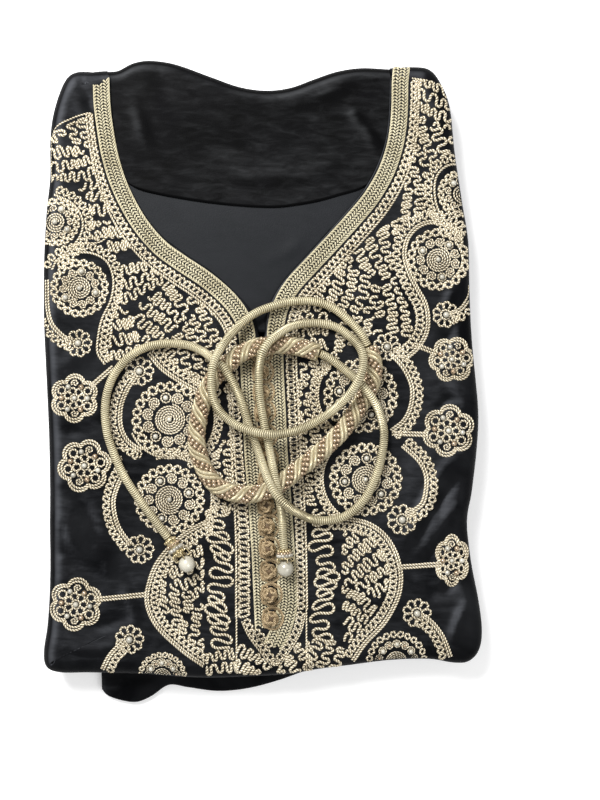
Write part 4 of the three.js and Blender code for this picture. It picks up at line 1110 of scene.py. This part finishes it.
def runs(good, shortest):
    """Starts and ends of the unbroken stretches where good holds."""
    start = None
    for i in range(len(good) + 1):
        held = i < len(good) and good[i]
        if held and start is None:
            start = i
        if not held and start is not None:
            if i - start >= shortest:
                yield start, i
            start = None


def sew(name, plan, radius=THREAD, lift=None, step=1.15, sides=5):
    """Lays a plan line as couched cord, broken off where it leaves the front."""
    line = by_step(np.asarray(plan, float), step)
    lift = radius * 0.75 if lift is None else lift
    for start, end in runs(read(INSET, line[:, 0], line[:, 1]) > LIMIT, 3):
        figure(name).tube(on_cloth(line[start:end], lift), radius, sides)


def bead(x, y, radius, slot=0):
    """Bead sewn on the cloth, left out where the front ends."""
    if read(INSET, x, y) < LIMIT + radius * 0.5:
        return
    at = on_cloth(np.array([[x, y]]), radius * 0.9 + 0.5)[0]
    beads.ball(at, radius, 0.9, slot=slot)


def looped(line, side, height, pitch, curl):
    """Row of loops standing on one side of a line."""
    gone = lengths(line)
    total = gone[-1]
    count = max(2, round(total / pitch))
    phase = np.linspace(0, 2 * np.pi * count, count * 16)
    s = np.clip(total * phase / (2 * np.pi * count) - curl * total / count * np.sin(phase), 0, total)
    away = height * (1 - np.cos(phase)) / 2
    return along(line, gone, s) + along(sides_of(line)[1], gone, s) * (side * away)[:, None]


def ring_row(name, line, away, across, pitch, radius, narrow, seed):
    """Row of closed loops, each an upright oval, side by side along a line."""
    rng = random.Random(seed)
    gone = lengths(line)
    count = max(1, round(gone[-1] / pitch))
    run, left = sides_of(line)
    away = np.broadcast_to(away, gone.shape)
    across = np.broadcast_to(across, gone.shape)
    turn = np.linspace(0, 2 * math.pi, 15)
    for k in range(count):
        s = (k + 0.5) * gone[-1] / count
        off = np.interp(s, gone, away)
        tall = np.interp(s, gone, across) * rng.uniform(0.92, 1.05)
        lean = rng.uniform(-0.25, 0.25)
        half = pitch * narrow * rng.uniform(0.92, 1.04)
        side = 1 if off > 0 else -1
        u = half * np.cos(turn) + lean * tall / 2 * np.sin(turn)
        v = off + side * tall / 2 * np.sin(turn)
        ring = along(line, gone, s) + along(run, gone, s) * u[:, None] + along(left, gone, s) * v[:, None]
        sew(name, ring, radius, step=0.95)


# Borders along the trims, down to the point where they meet at the low fold.
BORDER_LEFT_X_Y = [(-127.4, 216)] + TRIM_LEFT_X_Y[2:16] + [(-5.4, -94), (-4, -132), (-4, -168), (-4, -188)]
BORDER_RIGHT_X_Y = TRIM_RIGHT_X_Y[1:18] + [(18.4, -132), (19, -162), (19.2, -182)]
# How far each border reaches from the middle of its trim, at shares of its length.
WIDTHS_LEFT = [(0, 12.4), (0.05, 13.2), (0.18, 15.8), (0.5, 16), (1, 16)]
WIDTHS_RIGHT = [(0, 13.8), (0.1, 14.8), (0.2, 15.8), (0.5, 16), (1, 16)]
BORDER_FOOT = 7.7
LOOP_PITCH = 4.6


def neck_border(name, points, side, widths, drift):
    """Rings between two cords; drift brings the near cord in along the slit."""
    line = by_step(spline(points, 2000), LAY_STEP)
    share = lengths(line) / lengths(line)[-1]
    wide = np.interp(share, *np.transpose(widths))
    left = sides_of(line)[1]
    near = BORDER_FOOT + np.interp(share, [0, 0.66, 0.86, 1], [0, 0, drift, drift])
    sew(name, line + left * side * near[:, None], 0.6)
    tall = wide - near - 2.4
    ring_row(name, line, side * (near + 1.3 + tall / 2), tall, LOOP_PITCH, 1.28, 0.47, 7)
    sew(name, line + left * side * (wide + 0.8)[:, None], 1.1)


neck_border("neck_border_left", BORDER_LEFT_X_Y, -1, WIDTHS_LEFT, -3.0)
neck_border("neck_border_right", BORDER_RIGHT_X_Y, 1, WIDTHS_RIGHT, 0.0)
foot_line = by_step(spline([(-6, -199), (0, -205), (7, -212)], 60), LAY_STEP)
ring_row("neck_border_left", foot_line, 0.2, 5.4, LOOP_PITCH, 1.2, 0.47, 5)
LANES = [
    (
        "neck_border_left", 1, [(-13, -190), (-8, -201), (0, -212), (11, -226)],
        [(-20.5, -186), (-20.5, -233)],
    ),
    (
        "neck_border_right", -1, [(31, -184), (28, -198), (20, -212), (10, -226)],
        [(35.5, -180), (35.5, -230)],
    ),
]
for name, side, points, straight in LANES:
    lane = by_step(spline(points, 200), LAY_STEP)
    sew(name, offset(lane, -side * 3.6), 0.9)
    ring_row(name, lane, side * 0.2, 5.0, 4.7, 1.2, 0.47, 9)
    sew(name, offset(lane, side * 3.8), 0.8)
    sew(name, np.array(straight, float), 0.95)

# Medallions: name, middle and reach. Their parts lie at shares of the reach.
MEDALLIONS = [
    ("medallion_left_1", (-165, 128), 19), ("medallion_left_2", (-146, 75), 23),
    ("medallion_left_3", (-74, -30), 30), ("medallion_left_4", (-74, -94), 28),
    ("medallion_right_1", (160, 151), 19), ("medallion_right_2", (141, 98), 24.5),
    ("medallion_right_3", (79, -11), 29.6), ("medallion_right_4", (83, -78), 29),
]
DISC = 0.415
COIL_RING = 0.585
COIL = 0.16
COILS = 11
LINE_RING = 0.765
OUTER_RING = 0.885


def polar(at, reach, turn):
    return at[0] + reach * math.cos(turn), at[1] + reach * math.sin(turn)


def medallion(name, at, reach, turn0):
    """Spiral disc with a bead, a ring of small spirals, a cord ring and a rim of closed loops."""
    sew(name, coil(at, 2.2, DISC * reach, 2.0, turn0), 0.98, 0.8, 0.8)
    bead(*at, 2.1, 1)
    small = COIL * reach
    for k in range(COILS):
        turn = turn0 + 2 * math.pi * k / COILS
        spot = polar(at, COIL_RING * reach, turn)
        if k % 4 == 2:
            sew(name, circle(spot, small * 0.8, 20), 0.9, 0.8)
            bead(*spot, 2.3, 1)
        else:
            sew(name, coil(spot, 0.6, small, 1.75, turn), 0.95, 0.8, 0.6)
            bead(*spot, 0.8)
    sew(name, circle(at, LINE_RING * reach, 90), 0.95, 0.6)
    loops = 23 if reach > 25 else 20
    ring = circle(at, OUTER_RING * reach, 260, turn0)
    pitch = 2 * math.pi * OUTER_RING * reach / loops
    ring_row(name, ring, 0.01, 0.21 * reach, pitch, 1.35, 0.4, len(name))


for n, (name, at, reach) in enumerate(MEDALLIONS):
    medallion(name, at, reach, 0.3 * n)


def rosette(name, at, reach, petals, turn0):
    """Ring of loops round a small circle with a bead."""
    foot = 0.42 * reach
    petal_ring = looped(circle(at, foot, 60, turn0), -1, 0.50 * reach, 2 * math.pi * foot / petals, 0.26)
    sew(name, petal_ring, 1.15)
    sew(name, circle(at, 0.34 * reach, 20), 1.05)
    bead(*at, 0.23 * reach, 1)


def edging(name, points, side, lines=2, height=5.2):
    """Cord lines with a row of closed loops standing on one side of them."""
    line = by_step(spline(points, 600), LAY_STEP)
    for k in range(lines):
        sew(name, offset(line, -side * 2.05 * k), 1.15)
    ring_row(name, line, side * (2.1 + height / 2), height, 4.9, 1.28, 0.42, len(points))


# Scalloped bands round the medallions, each ending in a small rosette.
BANDS = [
    (
        "band_left_2", -1, (-147, 31), 9.5,
        [(-173, 82), (-172.5, 60), (-169, 46), (-160, 36), (-152, 32)],
    ),
    (
        "band_left_3", -1, (-98, 8.5), 10,
        [(-101, 6), (-109, -6), (-114, -20), (-114, -36), (-108, -48), (-97, -56)],
    ),
    (
        "band_left_4", -1, (-98, -134), 10,
        [(-110, -70), (-117, -84), (-120, -98), (-116, -116), (-106, -131)],
    ),
    ("band_right_2", 1, (147, 54), 9, [(167, 80), (166, 68), (160, 58), (151, 54)]),
    (
        "band_right_3", 1, (100, 28), 9.5,
        [(103, 24), (114, 12), (121, -4), (120, -20), (114, -32), (104, -40)],
    ),
    (
        "band_right_4", 1, (112, -110), 10.5,
        [(113, -50), (126, -62), (132, -74), (132, -88), (128, -99), (116, -107)],
    ),
    ("sprig_left", -1, (-106, -206), 10, [(-127, -230), (-120, -218), (-110, -208)]),
    ("sprig_right", 1, (124, -185), 10, [(150, -220), (144, -205), (136, -194), (127, -187)]),
]
ROSETTE_GROWTH = 1.22
for name, side, at, reach, points in BANDS:
    edging(name, points, side)
    rosette(name, at, ROSETTE_GROWTH * reach, 9, 0.4)

# Lines that close the chest and the waist figures: name, side, height of the loops and route.
CLOSING = [
    ("chest_border_left", 1, 5.6, [(-90, 24), (-80, 12), (-66, 2), (-50, -7), (-36, -14)]),
    (
        "chest_border_right", -1, 6.4,
        [(160, 117), (148, 126), (135, 129), (124, 125), (116, 116), (113, 105), (114, 95), (118, 84),
         (124, 73), (130, 62), (132, 49), (130, 38), (123, 27), (112, 18)],
    ),
    (
        "waist_border_left", 1, 5.6,
        [(-42, -112), (-54, -118), (-68, -128), (-82, -144), (-89, -160), (-91, -177), (-83, -195),
         (-63, -214), (-46, -226)],
    ),
    (
        "waist_border_right", -1, 5.6,
        [(56, -110), (72, -111), (86, -115), (97, -123), (105, -135), (109, -148), (110, -160),
         (107, -174), (97, -192), (82, -208), (72, -222)],
    ),
]
for name, side, height, points in CLOSING:
    edging(name, points, side, 2, height)

# Lines round the side medallions, with their loops turned to the ground of the figure.
SIDE_LINES = [
    (
        "medallion_left_1", 1,
        [(-166, 150), (-152, 143), (-144, 131), (-145, 118), (-154, 106), (-166, 96)],
    ),
    (
        "medallion_left_2", 1,
        [(-168, 90), (-163, 98), (-150, 103), (-136, 103), (-124, 96), (-119, 82), (-121, 66),
         (-128, 51), (-131, 38), (-132, 24), (-126, 14)],
    ),
    (
        "medallion_right_1", -1,
        [(160, 176), (148, 173), (140, 165), (138, 153), (141, 138), (150, 126), (162, 118)],
    ),
]
for name, side, points in SIDE_LINES:
    edging(name, points, side, 1, 5.6)

# Single cords that end the borders at the shoulders: figure, count of points, radius and route.
SHOULDER_LINES = [
    ("neck_border_left", 90, 0.95, [(-139, 215), (-152, 211), (-166, 202), (-168.5, 180), (-168, 160)]),
    ("neck_border_left", 50, 0.8, [(-139, 217), (-153, 213), (-168, 203)]),
    ("neck_border_right", 90, 0.95, [(120, 243), (134, 240), (147, 231), (154, 219), (157, 200)]),
]
for name, count, radius, points in SHOULDER_LINES:
    sew(name, spline(points, count), radius)

# Arcs round the middle medallions: figure, middle, reach, start and sweep.
OUTER_ARCS = [
    ("fill_left", (-73.9, -29.6), 36, -1.2, 2.3), ("fill_left", (-73.9, -93.6), 33.6, -0.7, 2.6),
    ("fill_right", (79.2, -10.4), 34.4, 2.1, 2.2), ("fill_right", (84, -77.6), 35.4, 2.2, 1.9),
]
for name, at, reach, start, sweep in OUTER_ARCS:
    arc = circle(at, reach, 60, start, sweep)
    sew(name, arc, 1.1)
    ring_row(name, by_step(arc, LAY_STEP), -3.9, 5.0, 4.8, 1.28, 0.43, 4)
sew("fill_left", circle((-73.9, -28.5), 32.5, 40, -2.75, 1.7), 1.1)
TIES = [
    [(-119, -53), (-108, -53), (-97, -56), (-98, -61)],
    [(-146, 115), (-133, 115), (-120, 119)],
    [(-141, 111), (-130, 112), (-120, 119)],
]
for points in TIES:
    sew("band_left_3", spline(points, 60), 0.9)

# Half medallions at the low fold.
FAN_COILS = 7
for name, at, reach in (("fan_left", (-80, -236), 20), ("fan_right", (108, -224), 25)):
    sew(name, coil(at, 1.9, 0.36 * reach, 1.5), 0.8, 0.9)
    for k in range(FAN_COILS):
        turn = math.pi * (k + 0.5) / FAN_COILS
        spot = polar(at, 0.57 * reach, turn)
        sew(name, coil(spot, 0.5, 3.4, 1.3, turn), 0.78, 0.8)
        bead(*spot, 1.8 if k % 2 else 1.1, k % 2)
    sew(name, circle(at, 0.75 * reach, 60, 0, math.pi), 0.7)
    ring = circle(at, OUTER_RING * reach, 120, 0, math.pi)
    ring_row(name, ring, 0.01, 0.17 * reach, math.pi * OUTER_RING * reach / 12, 1.12, 0.36, 4)

# Six-lobed flowers on stems: name, middle, reach, turn, stem and squeeze from side to side.
FLOWERS = [
    ("flower_left_1", (-150, -13), 20, 0.5, [(-134, -1), (-119, 12)], 1.0),
    ("flower_left_2", (-142, -67), 22, 0.2, [(-121, -63), (-112, -61)], 1.0),
    ("flower_left_3", (-149, -178), 22, 0.4, [(-131, -174), (-92, -170)], 1.0),
    ("flower_right_1", (152, 18), 19, 0.1, [(137, 24), (122, 30)], 1.0),
    ("flower_right_2", (149, -39), 21.5, 0.4, [(130, -42), (104, -41)], 1.0),
    ("flower_right_3", (152, -143), 21.5, 0.52, [(143, -146), (109, -148)], 0.66),
]
LOBES = 6
LOBE_DEPTH = 0.24


def flower(name, at, reach, turn0, stem, squeeze):
    """Double lobed outline, a ring or spiral in each lobe, a rosette and a stem of two cords."""
    turn = np.linspace(0, 2 * np.pi, 160)
    lobes = np.abs(np.cos(LOBES / 2 * (turn - turn0))) ** 0.6
    for scale in (0.95, 0.84):
        r = scale * reach * (1 - LOBE_DEPTH + LOBE_DEPTH * lobes)
        sew(name, np.stack([at[0] + squeeze * r * np.cos(turn), at[1] + r * np.sin(turn)], 1), 1.15)
    for k in range(LOBES):
        a = turn0 + 2 * math.pi * k / LOBES
        spot = (at[0] + squeeze * 0.6 * reach * math.cos(a), at[1] + 0.6 * reach * math.sin(a))
        if k % 3 == 1:
            sew(name, coil(spot, 0.6, 0.15 * reach, 1.8, a), 1.0)
        else:
            sew(name, (circle(spot, 0.145 * reach, 18) - spot) * (squeeze, 1) + spot, 1.1)
        b = a + math.pi / LOBES
        bead(at[0] + squeeze * 0.52 * reach * math.cos(b), at[1] + 0.52 * reach * math.sin(b), 2.2, k % 2)
    rosette(name, at, 0.46 * reach * squeeze**0.5, 7, turn0)
    start, end = (np.array(p, float) for p in stem)
    run = (end - start) / np.linalg.norm(end - start)
    start = start - run * 3
    side = np.array([-run[1], run[0]])
    for away in (-1.15, 1.15):
        sew(name, np.array([start + side * away, end + side * away]), 1.2)


for f in FLOWERS:
    flower(*f)

# Wandering cord that fills the ground between the borders.
FILLS = [
    (
        "fill_left",
        [(-167, 199), (-150, 208), (-139, 212), (-138, 190), (-133, 165), (-122, 142), (-124, 132),
         (-136, 134), (-139, 146), (-150, 157), (-162, 162), (-170, 162), (-170, 190)],
    ),
    (
        "fill_left",
        [(-138, 128), (-120, 128), (-96, 96), (-74, 79), (-38, 54), (-31, 36), (-29, 2), (-50, 0),
         (-60, 8), (-74, 18), (-88, 34), (-112, 18), (-124, 18), (-120, 50), (-112, 80), (-112, 98),
         (-130, 112), (-138, 118)],
    ),
    (
        "fill_left",
        [(-50, -126), (-62, -132), (-74, -146), (-80, -161), (-82, -177), (-75, -191), (-56, -209),
         (-47, -216), (-47, -142)],
    ),
    ("fill_left", [(-44, -214), (-24, -212), (-20, -236), (-44, -236)]),
    ("fill_left", [(-20, -208), (-12, -208), (10, -232), (-20, -234)]),
    ("fill_right", [(12, -232), (30, -208), (40, -212), (42, -232)]),
    ("fill_right", [(36, -208), (62, -208), (70, -224), (50, -230), (38, -230)]),
    (
        "fill_right",
        [(124, 242), (144, 238), (153, 210), (156, 186), (146, 182), (134, 172), (130, 156), (131, 142),
         (136, 134), (124, 132), (112, 130), (106, 120), (110, 134), (114, 150), (119, 186), (122, 218)],
    ),
    (
        "fill_right",
        [(112, 132), (118, 134), (106, 114), (104, 96), (108, 76), (118, 58), (122, 46), (118, 36),
         (104, 38), (92, 40), (80, 34), (66, 28), (48, 2), (32, -4), (30, 30), (29, 48), (38, 68),
         (64, 94), (92, 120)],
    ),
    (
        "fill_right",
        [(66, -118), (74, -119), (90, -127), (99, -141), (101, -158), (97, -172), (80, -196), (66, -212),
         (64, -142)],
    ),
]
# Upright columns of the same cord, with the width and size of their loops and how far they swing.
ROW = 10.3
SWING = 1.72
COLUMN_FILLS = [
    ("fill_left", 24, 1.92, 1.93, [(-46, -104), (-22, -96), (-22, -212), (-46, -214)]),
    ("fill_right", 24, 1.92, 1.93, [(37, -100), (62, -110), (62, -208), (37, -208)]),
    (
        "fill_left", ROW, 1.0, SWING,
        [(-23.5, 2), (-30, -4), (-29, -16), (-28, -30), (-29, -44), (-35, -55), (-46, -62), (-38, -70),
         (-32, -80), (-30.5, -94), (-32, -104), (-23.5, -106)],
    ),
    (
        "fill_right", ROW, 1.0, SWING,
        [(29, 2), (34, 6), (36, -2), (37, -12), (38, -24), (44, -34), (52, -42), (46, -50), (41, -60),
         (40, -74), (41, -88), (45, -98), (36, -98), (33.5, -92), (32, -60), (30, -24)],
    ),
]
WAVE = 19.0
PATCH = 33.0
FILL_CORD = 1.42
BORDER_REACH = 2.6
PATCH_GAP = 0.6


def bent(p, seed):
    """Bends straight guides into uneven ones."""
    x = p[..., 0]
    y = p[..., 1]
    dx = 2.6 * np.sin(y / 11 + 1.3 * seed) + 0.7 * np.sin(y / 5.1 + x / 8 + 2 * seed)
    dy = 2.6 * np.sin(x / 10 + 2.1 * seed) + 0.7 * np.sin(x / 5.4 - y / 7 + seed)
    return np.stack([x + dx, y + dy], -1)


def serpent(rng, length, size, swing):
    """A cord that swings to and fro in round loops about a straight guide."""
    step = 0.5
    t = np.arange(0, length * 4, step)
    swing = swing + 0.09 * np.sin(t / rng.uniform(9, 16) + rng.uniform(0, 6))
    wave = WAVE * size * (1 + 0.16 * np.sin(t / rng.uniform(14, 22) + rng.uniform(0, 6)))
    phase = rng.uniform(0, 6) + np.cumsum(2 * np.pi * step / wave)
    heading = swing * np.sin(phase) + 0.12 * np.sin(t / 7)
    x = np.cumsum(np.cos(heading)) * step
    y = np.cumsum(np.sin(heading)) * step
    drift = np.convolve(np.pad(y, 60, mode="edge"), np.ones(121) / 121, mode="valid")
    return x, y - drift


def patch_spots(rng, loop, low, high):
    """Middles of the patches, spread over a shape."""
    spots = []
    for _ in range(400):
        spot = np.array([rng.uniform(low[0], high[0]), rng.uniform(low[1], high[1])])
        far = all(np.hypot(*(spot - other)) > PATCH for other in spots)
        if far and inside_of(spot[:1], spot[1:], loop)[0]:
            spots.append(spot)
    return spots


def wander(name, loop, seed, heading=None, width=ROW, size=1.0, swing=SWING):
    """Fills a shape with patches of looping cord, each with its own direction, or with one at heading."""
    rng = random.Random(seed)
    loop = np.array(loop, float)
    low = loop.min(0)
    high = loop.max(0)
    closed = np.vstack([loop, loop[:1]])
    gone = lengths(closed)
    span = float(np.hypot(*(high - low)))
    spots = patch_spots(rng, loop, low, high)
    if heading is not None:
        spots = [(low + high) / 2]
    for at in spots:
        angle = rng.uniform(0, math.pi) if heading is None else heading
        run = np.array([math.cos(angle), math.sin(angle)])
        left = np.array([-run[1], run[0]])
        shift = rng.uniform(-0.5, 0.5) if heading is None else 0
        for row in range(-int(span / width) - 1, int(span / width) + 2):
            x, y = serpent(rng, 2 * span, size, swing)
            x = x - x[-1] / 2
            near = np.abs(x) < span
            x = x[near]
            y = y[near]
            line = bent(at + x[:, None] * run + (y + (row + shift) * width)[:, None] * left, seed)
            away, share = near_line(line[:, 0], line[:, 1], closed)
            held_in = inside_of(line[:, 0], line[:, 1], loop)
            good = held_in | (away < BORDER_REACH)
            border = along(closed, gone, share * gone[-1])
            line = np.where((held_in | ~good)[:, None], line, border)
            line[1:-1] = 0.25 * line[:-2] + 0.5 * line[1:-1] + 0.25 * line[2:]
            own = np.hypot(line[:, 0] - at[0], line[:, 1] - at[1])
            for other in spots:
                if other is not at:
                    good &= own < np.hypot(line[:, 0] - other[0], line[:, 1] - other[1]) - PATCH_GAP
            for start, end in runs(good, 19):
                sew(name, line[start:end], FILL_CORD)


for n, (name, loop) in enumerate(FILLS):
    wander(name, loop, n + 3)
for n, (name, width, size, swing, loop) in enumerate(COLUMN_FILLS):
    wander(name, loop, n + 21, math.pi / 2, width, size, swing)

FILL_FIGURES = ("fill_left", "fill_right")
for name, parts in figures.items():
    piece = parts.build(name + "_cord", [COUCHED])
    declare(piece, "couching", *([] if name in FILL_FIGURES else [name]))
declare(beads.build("sewn_beads", [ROSE_BEAD, NACRE]), "couching")

# Knotted ball buttons.
BUTTONS_X_Y = [
    (-0.8, 24), (-0.4, 8), (0.2, -8), (1.2, -24), (2.3, -43), (3.2, -61), (4.2, -80), (3.8, -98),
    (4.4, -115), (5, -133), (5.8, -151), (6.4, -170), (7.4, -189),
]
BALL = 5.6
BALL_CORE = 4.9
BALL_SQUASH = 0.7
KNOT_CORD = 1.3
WINDINGS = 3
WAVES = 4
WAVE_ANGLE = 0.95
# Heights of the middles of a knot and of the ball inside it, over the cloth.
KNOT_SEAT = 3.9
CORE_SEAT = 3.2
# Cord loops round a button: half width, half height and lift; they sit a little to its right.
EYES = [(8.2, 8.8, 1.5), (6.6, 7.4, 0.5)]
EYE_SHIFT = 1.2
EYE_CORD = 1.05
# Two small loops of cord at the left of a button.
SIDE_LOOP = 2.1
SIDE_LOOP_REACH = 6.6
SIDE_LOOP_CORD = 0.95
SIDE_LOOP_LIFT = 2.4


def knot_button(n, x, y):
    """Ball of one cord that winds three times round while it rises and falls four times."""
    foot = float(swell(np.array(x), np.array(y))) + 0.5
    t = np.linspace(0, 2 * np.pi, 150)
    lat = WAVE_ANGLE * np.sin(WAVES * t)
    lon = WINDINGS * t + 0.4 * n
    reach = BALL * (0.9 + 0.1 * np.sin(2 * WAVES * t))
    up = foot + KNOT_SEAT + reach * BALL_SQUASH * np.sin(lat)
    east = x + reach * np.cos(lat) * np.cos(lon)
    north = y + reach * np.cos(lat) * np.sin(lon)
    parts = Parts()
    parts.tube(np.stack([east, north, up], 1), KNOT_CORD, 7)
    # Dark ball inside the windings: painted shade seen between them.
    parts.ball((x, y, foot + CORE_SEAT), BALL_CORE, 0.75, 10, 6, 1)
    eye = circle((0, 0), 1, 30)
    for wide, tall, lift in EYES:
        parts.tube(on_cloth(eye * (wide, tall) + (x + EYE_SHIFT, y), lift), EYE_CORD)
    for turn in (0.72 * math.pi, 1.28 * math.pi):
        side_loop = circle(polar((x, y), SIDE_LOOP_REACH, turn), SIDE_LOOP, 12)
        parts.tube(on_cloth(side_loop, SIDE_LOOP_LIFT), SIDE_LOOP_CORD)
    piece = parts.build(f"knot_button_{n + 1:02d}", [KNOT, KNOT_PAINTED_SHADE])
    declare(piece, "button", f"button_{n + 1:02d}")


for n, (x, y) in enumerate(BUTTONS_X_Y):
    knot_button(n, x, y)

# Routes of the belt's cords in the frame; nothing further is done with them.
declare_cord(route_a, "end")
declare_cord(route_rope, "start")
declare_cord(route_b, "start")

# Pale floor and soft light from above.
bpy.ops.mesh.primitive_plane_add(size=6, location=(0, 0, -0.0005))
floor = bpy.context.object
floor.name = "floor"
floor_look = Look("floor")
floor_look.set(Base_Color=(0.9, 0.9, 0.9, 1), Roughness=0.9)
floor_look.set(Emission_Color=(1, 1, 1, 1), Emission_Strength=0.3)
floor.data.materials.append(floor_look.material)

world = bpy.data.worlds.new("world")
world.use_nodes = True
bpy.context.scene.world = world
background = world.node_tree.nodes["Background"]
background.inputs["Color"].default_value = (1.0, 1.0, 1.0, 1)
background.inputs["Strength"].default_value = 0.42


def area_light(name, where, size, power):
    """Square light that looks at the middle of the bundle."""
    data = bpy.data.lights.new(name, "AREA")
    data.size = size
    data.energy = power
    light = bpy.data.objects.new(name, data)
    light.location = where
    light.rotation_euler = (-Vector(where)).to_track_quat("-Z", "Y").to_euler()
    bpy.context.scene.collection.objects.link(light)


area_light("window", (-0.45, 0.7, 1.05), 0.5, 27)
area_light("fill", (0.6, -0.5, 1.2), 0.8, 6)

bpy.context.scene.view_settings.view_transform = "Standard"
